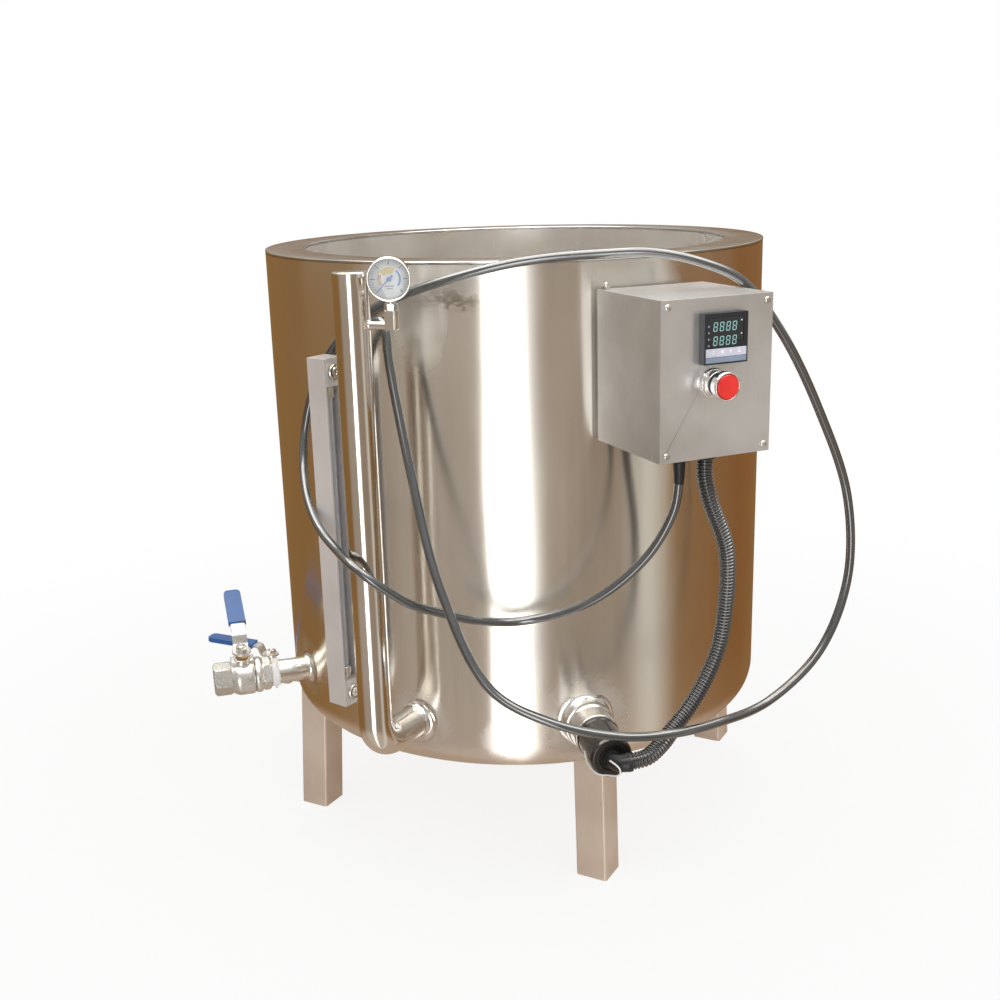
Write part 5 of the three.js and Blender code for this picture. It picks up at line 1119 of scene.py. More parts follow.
def make_dial(sizes):
    seat = dial_seat()
    front, back = 10.5, -8.5
    cup = rounded([
        (0, back), (19.0, back), (20.5, back + 1.5), (20.5, front - 4.6), (21.6, front - 3.6),
        (21.6, front - 1.2), (20.9, front),
        (19.3, front - 0.3), (19.3, 4.6), (19.3, back + 1.2), (0, back + 1.2),
    ], 0.8, 4)
    fitting = seat.turned([(0, -15.5), (3.9, -15.5), (3.9, -38.0), (0, -38.0)], axis=(0, 1, 0), segments=36)
    nut = seat.turned(
        hex_profile(12.0, -30.2, -23.6, 1.0), axis=(0, 1, 0), segments=96, shape=hexagonal(12.0),
        towards=(1, 0, 0))
    neck = seat.turned(
        rounded([(0, -19.0), (5.4, -19.0), (4.6, -22.6), (0, -22.6)], 0.8), axis=(0, 1, 0), segments=36)
    case = [seat.turned(cup, segments=96), fitting, nut, neck]
    build("gauge_housing", case, "chrome", node="gauge_case", sharp=32)
    face = seat.turned([(1.1, 3.5), (19.0, 3.5), (19.0, FACE_TOP), (1.1, FACE_TOP)], segments=96)
    build("gauge_face", [face], "dial_white", node="gauge_dial")
    ticks = [
        bar_at(a, 15.6 if k % 5 else 13.6, 17.6, 0.35 if k % 5 else 0.7)
        for k, a in enumerate(np.linspace(-SCALE_END, SCALE_END, 31))]
    build("gauge_ticks", flat_marks(seat, ticks, FACE_TOP, PRINT_THICK), "dial_black")
    def strip(start, end, inner, outer, name, tone):
        a = np.radians(np.linspace(start, end, 24))
        rim = np.stack([np.sin(a), np.cos(a)], axis=1)
        rows = np.stack([rim * inner, rim * outer, rim * outer, rim * inner], axis=1)
        z = np.broadcast_to(np.repeat([FACE_TOP, FACE_TOP + PRINT_THICK], 2), rows.shape[:2])
        points = np.concatenate([rows, z[..., None]], axis=2)
        caps = [points[k].mean(axis=0)[None, None] + np.zeros((1, 4, 3)) for k in (0, -1)]
        grid = seat.origin + mm(np.concatenate([caps[0], points, caps[1]])) @ seat.axes
        build(name, [solid(grid)], tone)
    strip(-58, 30, 5.0, BAND_RADIUS, "gauge_band_yellow", "dial_yellow")
    strip(-128, -64, 8.0, BAND_RADIUS, "gauge_band_red", "dial_red")
    strip(40, 128, 9.4, BAND_RADIUS, "gauge_band_blue", "dial_blue")
    bars = [
        [(-4.6, -7.2), (4.6, -7.2), (4.6, -6.4), (-4.6, -6.4)],
        [(-3.0, -9.6), (3.0, -9.6), (3.0, -8.9), (-3.0, -8.9)]]
    build("gauge_scale_bars", flat_marks(seat, bars, FACE_TOP, PRINT_THICK), "dial_black")
    angle = radians(SCALE_END)
    right, up, out = seat.axes
    turned_axes = [right * cos(angle) + up * sin(angle), up * cos(angle) - right * sin(angle), out]
    turn = Seat(seat.origin, turned_axes)
    blade = flat_marks(
        turn, [[(-0.9, -5), (0.9, -5), (0.7, 0), (0.25, 15), (-0.25, 15), (-0.7, 0)]], 5.9, 0.5)
    hub = turn.turned(
        rounded([(0, 3.8), (0.75, 3.8), (0.75, 4.85), (2.2, 4.85), (2.2, 6.2), (1.2, 6.9), (0, 6.9)], 0.4),
        segments=36)
    build("gauge_pointer", blade + [hub], "dial_blue", "needle", "gauge_needle")
    pane = seat.turned([(0, 8.4), (18.9, 8.4), (19.0, 9.0), (17.0, 9.7), (10, 10.1), (0, 10.2)], segments=96)
    build("gauge_pane", [pane], "glass", node="gauge_glass")


# Level gauge

def make_level(sizes):
    dressed("level_channel", "aluminium", 0.7)
    for end in ("top", "bottom"):
        dressed(f"level_{end}_block", "aluminium", 0.6)
    seat = radial_seat(LEVEL["azimuth"])
    head = [
        (0, -6.6), (3.9, -6.6), (3.9, 0), (8.5, 0), (8.5, 2.4), (8.0, 3.0), (7.3, 3.0), (7.0, 0.7),
        (6.0, 0.7), (5.7, 3.2),
        (4.8, 4.0), (3.0, 4.0), (2.7, 1.8), (0, 1.8),
    ]
    high, low = LEVEL["top"], LEVEL["bottom"]
    for end, height in (("top", high - LEVEL["bolt_inset"]), ("bottom", low + LEVEL["bolt_inset"])):
        bolt = seat.turned(head, (12.8, LEVEL["middle"], height), axis=SIDE, segments=64, towards=OUT)
        build(f"level_{end}_plug_screw", [bolt], "bolt_steel", node=f"level_{end}_bolt", sharp=30)
    start, end = low + LEVEL["tube_inset"], high - LEVEL["tube_inset"]
    tube = seat.turned(
        [(4.8, start), (6.0, start), (6.0, end), (4.8, end)], (0, LEVEL["middle"], 0), segments=48)
    build("level_tube", [tube], "tube_glass", node="sight_glass")
    nuts = []
    upper, lower = high - LEVEL["nut_inset"], low + LEVEL["nut_inset"]
    for low, high in ((upper - LEVEL["nut"], upper), (lower, lower + LEVEL["nut"])):
        nuts.append(seat.turned(rounded([
            (6.2, low), (7.9, low), (8.4, low + 1.2), (8.4, high - 1.2), (7.9, high), (6.2, high)], 0.5, 3),
            (0, LEVEL["middle"], 0), segments=64,
            shape=lambda r, h, a: (r + 0.12 * np.sin(30 * a) * (r > 8), h)))
    build("level_tube_nuts", nuts, "bolt_steel", sharp=40)
    line = [seat.boxed((-9.4, 326.9, 256.0), (-8.6, 346.9, 580.0), 0.2)]
    build("level_back_strip", line, "print_white")


# Heater and its cap

def make_heater(sizes):
    seat = radial_seat(HEATER["azimuth"], 0, HEATER["height"])
    sleeve = rounded([
        (21.0, 282), (24.5, 282), (24.5, 307), (25.9, 309), (25.9, 316), (24.5, 318), (24.5, 344),
        (23.6, 345), (21.0, 345), (21.0, 320),
    ], 1.0, 4)
    socket = [seat.turned(sleeve, axis=OUT, segments=96)]
    socket.append(bead(24.4, 32.5, 299.2, 306.5, seat.origin, outward(HEATER["azimuth"]), 34, 0.7))
    socket.append(bead(24.4, 27.6, 318.0, 320.5, seat.origin, outward(HEATER["azimuth"]), 40, 1.9))
    build("heater_coupling", socket, "weld_steel", node="heater_socket", sharp=45)
    cap = rounded([
        (20.5, 345.3), (23.6, 345.3), (23.6, 350.0), (22.6, 351.0), (22.9, 380.0), (22.6, 394.5),
        (20.6, 398.0), (14.0, 398.2),
        (12.6, 396.6), (10.0, 396.6), (10.0, 394.0), (20.0, 393.0),
    ], 1.0, 5)
    moulding = [seat.turned(cap, axis=OUT, segments=96)]
    build("terminal_cap_moulding", moulding, "cap_black", node="terminal_cap", sharp=40)
    inner = place(HEATER["azimuth"], 395.8, HEATER["height"])
    corner, outlet = elbow_corner(), elbow_corner() + elbow_way() * mm(14.5)
    path = AXIS + mm(bent([(p - AXIS) * 1000 for p in (inner, corner, outlet)], 13.5, 18))
    path = evenly(path, 0.0009)
    run = np.arange(len(path)) / (len(path) - 1)
    radius = 9.5 + 0.5 * (run < 0.12) + 0.45 * (run > 0.86) - 0.3 * np.exp(-((run - 0.5) / 0.2) ** 2)
    sleeve = build("cap_elbow_sleeve", [swept(path, radius, 40)], "boot_rubber", node="cap_elbow", sharp=50)
    make_tie_wire(seat, sizes)


def make_tie_wire(seat, sizes):
    """A wire from the cap's side across its front and round the elbow, ending in a hook."""
    route = [
        (-23.6, 376, 1.0), (-22.5, 384, -8.0), (-19.5, 392, -13.5), (-14.5, 399.6, -15.5),
        (-8.0, 405.0, -14.5),
        (-4.5, 412, -12.0), (-2.0, 419, -9.0), (0.0, 424.6, -4.0), (-1.0, 425.4, 2.0), (-5.0, 423.0, 6.5),
        (-8.5, 417.0, 8.0),
    ]
    path = evenly(spline([seat.at(x, y, z) for x, y, z in route], 16), 0.001)
    wire = build("tie_wire", [swept(path, sizes.wire_radius * 1000, 14)], "wire_white", sharp=60)


# Control box

def make_box(sizes):
    dressed("box_body", "box_steel", sizes.box_edge * 1000, 35)
    dressed("box_cover", "box_steel", 0.5, 35)
    dressed("box_mounting_plate", "box_steel", 0.5, 35)
    seat = box_seat()
    corners = {
        "top_left": (BOX["left"] + 7, BOX["top"] - 7), "top_right": (BOX["right"] - 7, BOX["top"] - 7),
        "bottom_left": (BOX["left"] + 7, BOX["bottom"] + 7),
        "bottom_right": (BOX["right"] - 7, BOX["bottom"] + 7),
    }
    for k, (name, (x, z)) in enumerate(corners.items()):
        turn = radians(20 + 37 * k)
        tip = Seat(seat.at(x, BOX["panel"], z), [
            seat.axes[0] * cos(turn) + UP * sin(turn), UP * cos(turn) - seat.axes[0] * sin(turn),
            seat.axes[1]])
        head = screw_head(tip)
        build(f"cover_screw_{name}_head", head, "bolt_steel", node=f"cover_screw_{name}", sharp=30)
    bolt = Seat(seat.at(-41.0, 313.0, BOX["top"]), seat.axes)
    stub = [
        bolt.turned(hex_profile(8.5, 0.05, 4.0, 0.6), segments=96, shape=hexagonal(8.5)),
        bolt.turned(rounded([(0, 3.5), (2.4, 3.5), (2.4, 6.2), (1.6, 7.0), (0, 7.0)], 0.4), segments=32),
    ]
    build("box_top_nut", stub, "bolt_steel", sharp=30)


def screw_head(tip):
    """A pan head with a cross cut in it: the dome sinks by the depth of the slot within half its
    width of either of two lines."""
    radius, angle = np.linspace(0, 3.4, 26)[:, None], circle(96)[None, :]
    dome = 2.2 * np.sqrt(np.clip(1 - (radius / 3.55) ** 2.6, 0, 1)) + 0 * angle
    x, y = radius * np.cos(angle), radius * np.sin(angle)
    slot = (np.minimum(np.abs(x), np.abs(y)) < 0.42) & (radius < 2.1)
    top = np.stack([x, y, np.where(slot, np.minimum(dome, 1.1), dome)], axis=-1)
    rim = np.stack([x[-1], y[-1], 0 * x[-1] - 0.1], axis=-1)[None]
    low = np.zeros_like(rim) + np.array([0, 0, -0.1])
    head = solid(tip.origin + mm(np.concatenate([top, rim, low])) @ tip.axes)
    shank = tip.turned([(0, -8.8), (1.9, -8.8), (1.9, 0.3), (0, 0.3)], segments=24)
    return [head, shank]


SEGMENTS = {
    "a": [(0.12, 1.94), (0.88, 1.94), (0.74, 1.76), (0.26, 1.76)],
    "d": [(0.26, 0.24), (0.74, 0.24), (0.88, 0.06), (0.12, 0.06)],
    "g": [(0.16, 1.0), (0.26, 1.09), (0.74, 1.09), (0.84, 1.0), (0.74, 0.91), (0.26, 0.91)],
    "f": [(0.06, 1.06), (0.06, 1.86), (0.22, 1.70), (0.22, 1.16)],
    "e": [(0.06, 0.14), (0.06, 0.94), (0.22, 0.84), (0.22, 0.30)],
    "b": [(0.78, 1.16), (0.78, 1.70), (0.94, 1.86), (0.94, 1.06)],
    "c": [(0.78, 0.30), (0.78, 0.84), (0.94, 0.94), (0.94, 0.14)],
}


def make_controller(sizes):
    dressed("controller_body", "controller_black", 1.1, 35)
    dressed("controller_window", "window_black", 0.3, 35)
    box = box_seat()
    face = Seat(box.at(18.6, 439.1, 638.8), [box.axes[0], UP, box.axes[1]])
    digits = []
    wide, tall, pitch = sizes.digit_height * 560, sizes.digit_height * 500, sizes.digit_height * 765
    for row in (sizes.digit_row * 1000, -sizes.digit_row * 1000 * 0.16):
        for k in range(4):
            for outline in SEGMENTS.values():
                o = np.asarray(outline)
                x = (k - 1.5) * pitch - 1.6 + (o[:, 0] - 0.5) * wide + (o[:, 1] - 1) * tall * 0.10
                digits.append(np.stack([x, row + (o[:, 1] - 1) * tall], axis=1))
    build("controller_digits", flat_marks(face, digits, 0.03, 0.12), "digits_teal")
    lamps = [round_mark((-19.6, 12.2 - 6.0 * k), 0.95) for k in range(4)]
    build("controller_lamps", flat_marks(face, lamps, 0.03, 0.15), "strip_blue")
    dots = [round_mark((16.6, 16.2), 0.75), round_mark((16.6, 3.6), 0.75)]
    build("controller_dots", flat_marks(face, dots, 0.03, 0.12), "print_white")
    band = [face.boxed((-22.5, -16.9, 0.02), (22.5, -9.0, 0.22), 0.08)]
    build("controller_key_strip", band, "key_lilac")
    foot = [face.boxed((-22.5, -22.4, 0.02), (22.5, -17.2, 0.2), 0.08)]
    build("controller_foot_strip", foot, "strip_blue")
    signs = {
        "set": [ring_mark((0, 0), 1.5, 0.85)],
        "shift": [[(-1.6, 0), (1.3, 1.5), (1.3, -1.5)]],
        "down": [[(0, -1.5), (-1.6, 1.3), (1.6, 1.3)]],
        "up": [[(0, 1.5), (1.6, -1.3), (-1.6, -1.3)]],
    }
    for k, (use, shapes) in enumerate(signs.items()):
        body = f"key_{use}"
        dressed(f"controller_key_{use}", "key_lilac", 0.25, 35, body)
        x = (k - 1.5) * 9.6
        spot = [np.asarray(s, dtype=float) * 1.25 + (x, -12.4) for s in shapes]
        build(f"controller_sign_{use}", flat_marks(face, spot, 0.31, 0.06), "print_white", body)


def round_mark(middle, radius):
    turn = circle(20)
    return np.stack([middle[0] + radius * np.cos(turn), middle[1] + radius * np.sin(turn)], axis=1)


def ring_mark(middle, outer, inner):
    """A ring drawn as one outline: round its outside and back round its inside."""
    turn = np.linspace(0, 2 * np.pi * 0.999, 24)
    out = np.stack([np.cos(turn), np.sin(turn)], axis=1)
    return np.concatenate([out * outer, out[::-1] * inner]) + np.asarray(middle)


def make_button(sizes):
    box = box_seat()
    seat = Seat(box.at(BUTTON["x"], BOX["panel"], BUTTON["height"]), [box.axes[0], UP, box.axes[1]])
    holder = [
        (5.3, -30), (10.8, -30), (10.8, 0.0), (14.4, 0.0), (14.4, 1.5), (13.7, 2.4), (12.4, 2.5), (12.2, 3.2),
        (12.2, 9.4), (11.6, 9.8), (11.6, 16.0), (13.2, 16.4), (14.2, 17.4), (14.2, 24.2), (13.5, 25.6),
        (12.5, 25.8),
        (12.0, 25.2), (12.0, 17.2), (5.3, 17.2),
    ]
    bezel = seat.turned(rounded(holder, 0.6, 4), segments=96)
    build("button_bezel", [bezel], "chrome", node="button_holder", sharp=32)
    # A thin black band round the neck, just behind the head.
    band = seat.turned([(11.65, 9.9), (12.0, 10.0), (12.0, 15.9), (11.65, 16.0)], segments=96)
    build("button_neck_black_band", [band], "nylon")
    cap = rounded(
        [(0, -25.4), (5.0, -25.4), (5.0, 21.8), (11.7, 21.8), (11.7, 25.7), (10.7, 26.6), (0, 26.8)], 0.9, 5)
    face = seat.turned(cap, segments=96)
    build("button_face", [face], "button_red", "red_button", "button_cap", 40)


def make_glands(sizes):
    seat = box_seat()
    for name, x, flange, nose, bore in (("cable", 0.0, 22.0, 8.5, 5.1), ("conduit", 30.0, 27.0, 11.5, 9.3)):
        spot = (x, 388.0, 0)
        top = BOX["bottom"] - 0.3
        hexagon = seat.turned(
            hex_profile(flange, top - 4, top, 0.8, bore=4.0), spot, segments=96, shape=hexagonal(flange))
        ring = rounded(
            [(bore, 511.1), (nose - 1.2, 511.1), (nose, 512.6), (nose, 518.5), (nose, 519.5), (bore, 519.5)],
            0.6, 4)
        ribs = seat.turned(
            ring, spot, segments=120, shape=lambda r, h, a: (r + 0.35 * np.sin(24 * a) * (r > nose - 0.3), h))
        thread = seat.turned(
            [(bore, 519.0), (nose - 1.0, 519.0), (nose - 1.0, 530.2), (bore, 530.2)], spot, segments=64)
        build(f"{name}_gland_body", [hexagon, ribs, thread], "nylon", node=f"{name}_gland", sharp=35)


INSIDE = {
    "heating_element": "pipe_steel", "temperature_probe": "bolt_steel", "contact_block": "nylon",
    "power_relay": "nylon",
    "terminal_block": "terminal_white",
}


def finish_inside(sizes):
    for node, name in INSIDE.items():
        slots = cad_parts[node].material_slots
        for slot in slots:
            slot.material = FINISHES[name]


# Stage

# The room that polished steel mirrors: plain walls by azimuth in degrees
BROWN_WALL, GREY_WALL, TAUPE_WALL, PALE_DOOR, WINDOW = "806038", "988c80", "8c7c6c", "c8c4bc", "ffffff"
STUDIO = [
    (-180, BROWN_WALL), (-50, BROWN_WALL), (-30, GREY_WALL), (13, GREY_WALL), (14, WINDOW), (30, WINDOW),
    (40, TAUPE_WALL), (75, TAUPE_WALL), (90, PALE_DOOR), (105, BROWN_WALL), (180, BROWN_WALL),
]
WINDOW_GLOW = 3.2
ROOM_LIGHT, WHITE = (0.80, 0.80, 0.80), (1.0, 1.0, 1.0)
SKYLIGHT_GLOW = 9.0


def make_world():
    """A plain white world. Polished steel sees a studio in it: walls by azimuth with one bright window,
    a cloudy pale ceiling with a skylight, and a floor a little paler than the walls."""
    world = bpy.data.worlds.new("studio")
    bpy.context.scene.world = world
    t = Tree(world)
    spot = t.add("ShaderNodeTexCoord").outputs["Generated"]
    way = t.add("ShaderNodeSeparateXYZ", {0: spot}).outputs
    back = t.sum(way[1], -1.0, "MULTIPLY")
    angle = t.add("ShaderNodeMath", {0: way[0], 1: back}, operation="ARCTAN2").outputs[0]
    turn = t.sum(angle, 180 / np.pi, "MULTIPLY")
    walls = t.ramp(t.spread(turn, -180, 180), [(a / 360 + 0.5, hue(c)) for a, c in STUDIO])
    window = t.sum(t.spread(turn, 13.0, 13.6), t.spread(turn, 25.0, 37.0, 1.0, 0.0, smooth=True), "MULTIPLY")
    window = t.sum(window, t.spread(way[2], 0.02, 0.20, 1.0, 0.0), "MULTIPLY")
    window = t.sum(window, t.spread(way[2], -0.62, -0.46, 0.15, 1.0), "MULTIPLY")
    cloud = t.spread(t.noise(spot, 4.5, 4.0), 0.42, 0.62, smooth=True)
    ceiling = t.mix(cloud, hue("96938e"), hue("dcdad6"))
    tone = t.mix(t.spread(way[2], 0.02, 0.20, smooth=True), walls, ceiling)
    ground = t.mix(0.45, walls, hue("cfc2b6"))
    tone = t.mix(t.spread(way[2], -0.44, -0.66, smooth=True), tone, ground)
    path = t.add("ShaderNodeLightPath").outputs
    glossy = path["Is Glossy Ray"]
    tone = t.mix(glossy, ROOM_LIGHT, tone)
    seen = t.sum(path["Is Camera Ray"], path["Is Transmission Ray"], "MAXIMUM")
    tone = t.mix(seen, tone, WHITE)
    power = t.sum(t.sum(window, WINDOW_GLOW, "MULTIPLY"), t.spread(way[2], 0.66, 0.84, 0.2, SKYLIGHT_GLOW))
    power = t.sum(t.sum(t.sum(power, glossy, "MULTIPLY"), t.sum(1.0, seen, "SUBTRACT"), "MULTIPLY"), 1.0)
    light = t.add("ShaderNodeBackground", {"Color": tone, "Strength": power})
    t.add("ShaderNodeOutputWorld", {"Surface": light.outputs[0]})


def make_floor():
    """A matt floor that the camera sees as white: the glow's share rises to all of it away from the tank."""
    t = material("floor_white")
    seen = t.add("ShaderNodeLightPath").outputs["Is Camera Ray"]
    matt = t.add("ShaderNodeBsdfDiffuse", {"Color": (0.9, 0.9, 0.9, 1.0)})
    glow = t.add("ShaderNodeEmission", {"Color": (1.0, 1.0, 1.0, 1.0), "Strength": 1.0})
    away = t.add(
        "ShaderNodeVectorMath", {0: t.where(centre=tuple(AXIS))}, operation="LENGTH").outputs["Value"]
    share = t.sum(seen, t.spread(away, 0.45, 1.5, 0.84, 1.0, smooth=True), "MULTIPLY")
    both = t.add("ShaderNodeMixShader", {0: share, 1: matt.outputs[0], 2: glow.outputs[0]})
    t.add("ShaderNodeOutputMaterial", {"Surface": both.outputs[0]})
    half = 14.0
    corners = [(-half, -half, 0), (half, -half, 0), (half, half, 0), (-half, half, 0)]
    mesh = bpy.data.meshes.new("floor")
    mesh.from_pydata(corners, [], [(0, 1, 2, 3)])
    mesh.materials.append(FINISHES["floor_white"])
    floor = bpy.data.objects.new("floor", mesh)
    bpy.context.scene.collection.objects.link(floor)
    floor.visible_glossy = False


def make_lamps():
    for name, azimuth, reach, height, size, power in (
        ("key_lamp", -20.0, 2600.0, 2300.0, 1.8, 9.0), ("fill_lamp", 72.0, 2800.0, 1600.0, 2.2, 18.0),
    ):
        lamp = bpy.data.lights.new(name, "AREA")
        lamp.size, lamp.energy = size, power
        thing = bpy.data.objects.new(name, lamp)
        bpy.context.scene.collection.objects.link(thing)
        spot = place(azimuth, reach, height)
        toward = unit(AXIS + UP * 0.4 - spot)
        first, second = across(toward, UP)
        thing.matrix_world = Matrix((
            (-second[0], first[0], -toward[0], spot[0]), (-second[1], first[1], -toward[1], spot[1]),
            (-second[2], first[2], -toward[2], spot[2]), (0, 0, 0, 1)))
        thing.visible_glossy = False


def make_camera():
    """The photograph's camera: its place about the tank, and its yaw, pitch and roll."""
    azimuth, reach, height = 27.914, 1579.627, 815.659
    yaw, pitch, roll = azimuth + 0.907, radians(15.503), radians(-1.567)
    forward = -outward(yaw) * cos(pitch) - UP * sin(pitch)
    right = unit(np.cross(forward, UP))
    up = np.cross(right, forward)
    right, up = right * cos(roll) + up * sin(roll), up * cos(roll) - right * sin(roll)
    spot = place(azimuth, reach, height)
    camera = bpy.data.cameras.new("photo_camera")
    camera.sensor_fit, camera.sensor_width, camera.lens = "HORIZONTAL", 36.0, 45.56
    camera.clip_end = 60.0
    thing = bpy.data.objects.new("photo_camera", camera)
    bpy.context.scene.collection.objects.link(thing)
    thing.matrix_world = Matrix(
        [(*row, s) for row, s in zip(np.stack([right, up, -forward], axis=1), spot)] + [(0, 0, 0, 1)])
    bpy.context.scene.camera = thing
    bpy.context.scene.view_settings.view_transform = "Standard"


def make_stage(sizes):
    make_world()
    make_floor()
    make_lamps()
    make_camera()


# Settings, operators and panel

class MeltingPotSizes(bpy.types.PropertyGroup):
    sheet_wave: FloatProperty(
        name="Sheet wave", description="How far the shell's sheet strays from round", default=0.00022,
        min=0.0, max=0.001, unit="LENGTH", precision=5)
    rim_edge: FloatProperty(
        name="Rim edge", description="Radius of the rim plate's edges", default=0.0012, min=0.0002,
        max=0.0014, unit="LENGTH", precision=4)
    leg_corner: FloatProperty(
        name="Leg corner", description="Outside radius of the leg tubes' corners", default=0.003, min=0.001,
        max=0.008, unit="LENGTH", precision=4)
    pipe_edge: FloatProperty(
        name="Pipe edge", description="Radius of the standpipe's top edge", default=0.0018, min=0.0003,
        max=0.006, unit="LENGTH", precision=4)
    tape_thickness: FloatProperty(
        name="Tape thickness", description="How thick the thread tape lies on its pipe", default=0.0024,
        min=0.0005, max=0.004, unit="LENGTH", precision=4)
    wire_radius: FloatProperty(
        name="Wire radius", description="Radius of the tie wire", default=0.0009, min=0.0003, max=0.002,
        unit="LENGTH", precision=4)
    conduit_radius: FloatProperty(
        name="Conduit radius", description="Radius over the conduit's ribs", default=0.009, min=0.008,
        max=0.009, unit="LENGTH", precision=4)
    rib_depth: FloatProperty(
        name="Rib depth", description="How deep the grooves between the conduit's ribs are", default=0.0014,
        min=0.0002, max=0.002, unit="LENGTH", precision=4)
    box_edge: FloatProperty(
        name="Box edge", description="Radius of the control box's folded edges", default=0.0011, min=0.0002,
        max=0.003, unit="LENGTH", precision=4)
    digit_height: FloatProperty(
        name="Digit height", description="Height of the controller's digits", default=0.0092, min=0.004,
        max=0.011, unit="LENGTH", precision=4)
    digit_row: FloatProperty(
        name="Digit row", description="Height of the upper row of digits above the controller's middle",
        default=0.0114, min=0.008, max=0.014, unit="LENGTH", precision=4)


class PieceOperator:
    """Runs its make function with the scene's settings and raises what that raises."""

    def execute(self, context):
        type(self).make(context.scene.melting_pot_sizes)
        return {"FINISHED"}


class MELTINGPOT_OT_finishes(PieceOperator, bpy.types.Operator):
    """Makes the finishes that the pieces wear"""
    bl_idname = "melting_pot.finishes"
    bl_label = "Finishes"
    make = staticmethod(make_finishes)


class MELTINGPOT_OT_stage(PieceOperator, bpy.types.Operator):
    """Makes the world, the floor, the lamps and the camera"""
    bl_idname = "melting_pot.stage"
    bl_label = "Stage"
    make = staticmethod(make_stage)


class MELTINGPOT_OT_cable(PieceOperator, bpy.types.Operator):
    """Makes the supply cable, its strain relief and its plug"""
    bl_idname = "melting_pot.cable"
    bl_label = "Supply cable"
    make = staticmethod(make_cable)


class MELTINGPOT_OT_conduit(PieceOperator, bpy.types.Operator):
    """Makes the ribbed conduit between the box and the heater's cap"""
    bl_idname = "melting_pot.conduit"
    bl_label = "Ribbed conduit"
    make = staticmethod(make_conduit)


class MELTINGPOT_OT_shell(PieceOperator, bpy.types.Operator):
    """Makes the polished outer shell"""
    bl_idname = "melting_pot.shell"
    bl_label = "Tank shell"
    make = staticmethod(make_shell)


class MELTINGPOT_OT_pot(PieceOperator, bpy.types.Operator):
    """Makes the inner pot and the plate round its rim"""
    bl_idname = "melting_pot.pot"
    bl_label = "Inner pot and rim"
    make = staticmethod(make_pot)


class MELTINGPOT_OT_legs(PieceOperator, bpy.types.Operator):
    """Makes the four square tube legs"""
    bl_idname = "melting_pot.legs"
    bl_label = "Legs"
    make = staticmethod(make_legs)


class MELTINGPOT_OT_pot_drain(PieceOperator, bpy.types.Operator):
    """Makes the pot's drain pipe, tape, ball valve and lever"""
    bl_idname = "melting_pot.pot_drain"
    bl_label = "Pot drain"
    make = staticmethod(make_pot_drain)


class MELTINGPOT_OT_jacket_drain(PieceOperator, bpy.types.Operator):
    """Makes the jacket's drain pipe, ball valve and lever"""
    bl_idname = "melting_pot.jacket_drain"
    bl_label = "Jacket drain"
    make = staticmethod(make_jacket_drain)


class MELTINGPOT_OT_standpipe(PieceOperator, bpy.types.Operator):
    """Makes the standpipe with its welds and branch"""
    bl_idname = "melting_pot.standpipe"
    bl_label = "Standpipe"
    make = staticmethod(make_standpipe)


class MELTINGPOT_OT_dial(PieceOperator, bpy.types.Operator):
    """Makes the dial gauge with its face, pointer and pane"""
    bl_idname = "melting_pot.dial"
    bl_label = "Dial gauge"
    make = staticmethod(make_dial)


class MELTINGPOT_OT_level(PieceOperator, bpy.types.Operator):
    """Makes the level gauge's channel, blocks, screws and glass"""
    bl_idname = "melting_pot.level"
    bl_label = "Level gauge"
    make = staticmethod(make_level)


class MELTINGPOT_OT_heater(PieceOperator, bpy.types.Operator):
    """Makes the heater's coupling, cap, elbow and tie wire"""
    bl_idname = "melting_pot.heater"
    bl_label = "Heater"
    make = staticmethod(make_heater)


class MELTINGPOT_OT_box(PieceOperator, bpy.types.Operator):
    """Makes the control box, its cover, screws and plate"""
    bl_idname = "melting_pot.box"
    bl_label = "Control box"
    make = staticmethod(make_box)


class MELTINGPOT_OT_controller(PieceOperator, bpy.types.Operator):
    """Makes the temperature controller with its digits and keys"""
    bl_idname = "melting_pot.controller"
    bl_label = "Controller"
    make = staticmethod(make_controller)


class MELTINGPOT_OT_button(PieceOperator, bpy.types.Operator):
    """Makes the push button and its bezel"""
    bl_idname = "melting_pot.button"
    bl_label = "Push button"
    make = staticmethod(make_button)


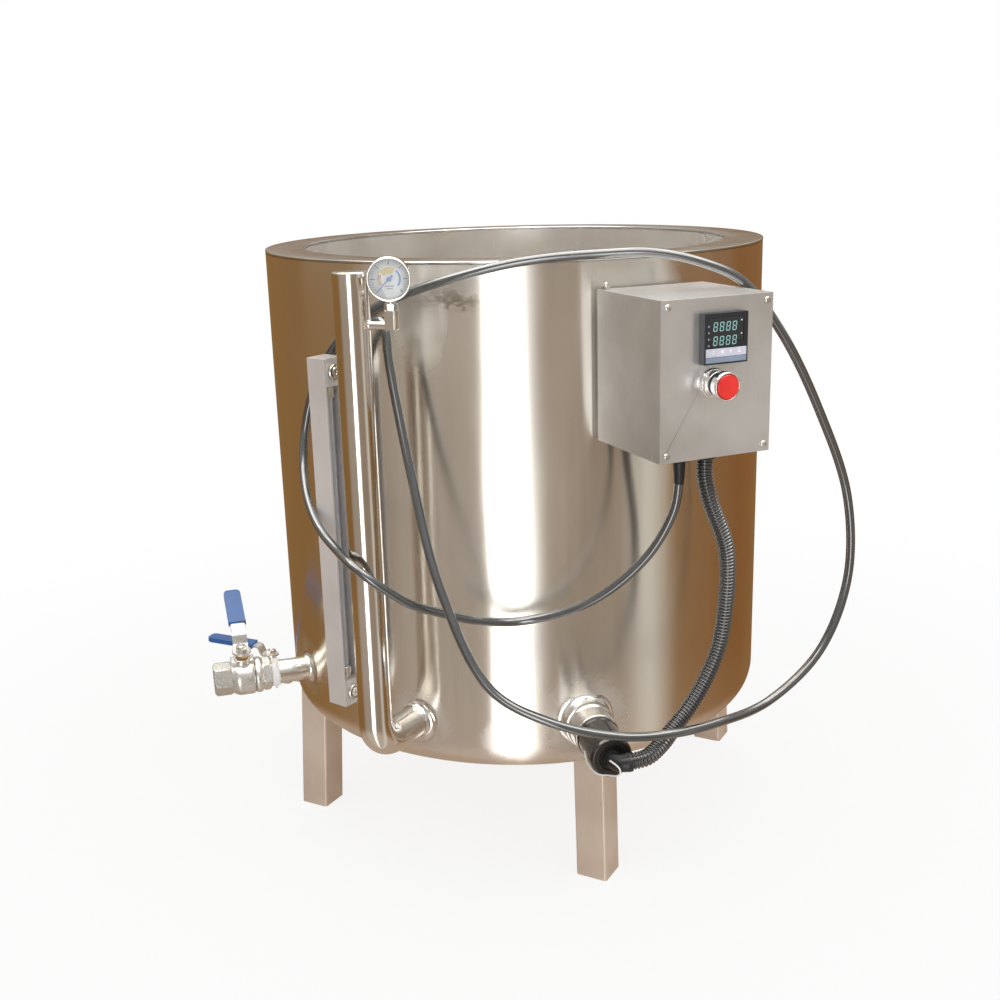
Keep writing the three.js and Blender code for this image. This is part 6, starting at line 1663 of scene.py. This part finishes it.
class MELTINGPOT_OT_glands(PieceOperator, bpy.types.Operator):
    """Makes the two glands under the box"""
    bl_idname = "melting_pot.glands"
    bl_label = "Glands"
    make = staticmethod(make_glands)


class MELTINGPOT_OT_inside(PieceOperator, bpy.types.Operator):
    """Gives the parts inside the box and the jacket their finish"""
    bl_idname = "melting_pot.inside"
    bl_label = "Inner parts"
    make = staticmethod(finish_inside)


OPERATORS = (
    MELTINGPOT_OT_finishes,
    MELTINGPOT_OT_stage,
    MELTINGPOT_OT_cable,
    MELTINGPOT_OT_conduit,
    MELTINGPOT_OT_shell,
    MELTINGPOT_OT_pot,
    MELTINGPOT_OT_legs,
    MELTINGPOT_OT_pot_drain,
    MELTINGPOT_OT_jacket_drain,
    MELTINGPOT_OT_standpipe,
    MELTINGPOT_OT_dial,
    MELTINGPOT_OT_level,
    MELTINGPOT_OT_heater,
    MELTINGPOT_OT_box,
    MELTINGPOT_OT_controller,
    MELTINGPOT_OT_button,
    MELTINGPOT_OT_glands,
    MELTINGPOT_OT_inside,
)


class MELTINGPOT_PT_panel(bpy.types.Panel):
    """Lists the settings and the steps that make the scene"""
    bl_idname = "MELTINGPOT_PT_panel"
    bl_label = "Melting pot"
    bl_space_type = "VIEW_3D"
    bl_region_type = "UI"
    bl_category = "Melting pot"

    def draw(self, context):
        sizes = context.scene.melting_pot_sizes
        for name in type(sizes).__annotations__:
            self.layout.prop(sizes, name)
        for step in OPERATORS:
            self.layout.operator(step.bl_idname)


def register():
    for kind in (MeltingPotSizes, *OPERATORS, MELTINGPOT_PT_panel):
        bpy.utils.register_class(kind)
    bpy.types.Scene.melting_pot_sizes = PointerProperty(type=MeltingPotSizes)


def unregister():
    del bpy.types.Scene.melting_pot_sizes
    for kind in (MELTINGPOT_PT_panel, *reversed(OPERATORS), MeltingPotSizes):
        bpy.utils.unregister_class(kind)


def main():
    register()
    for step in OPERATORS:
        getattr(bpy.ops.melting_pot, step.bl_idname.split(".")[1])()


if __name__ == "__main__":
    main()
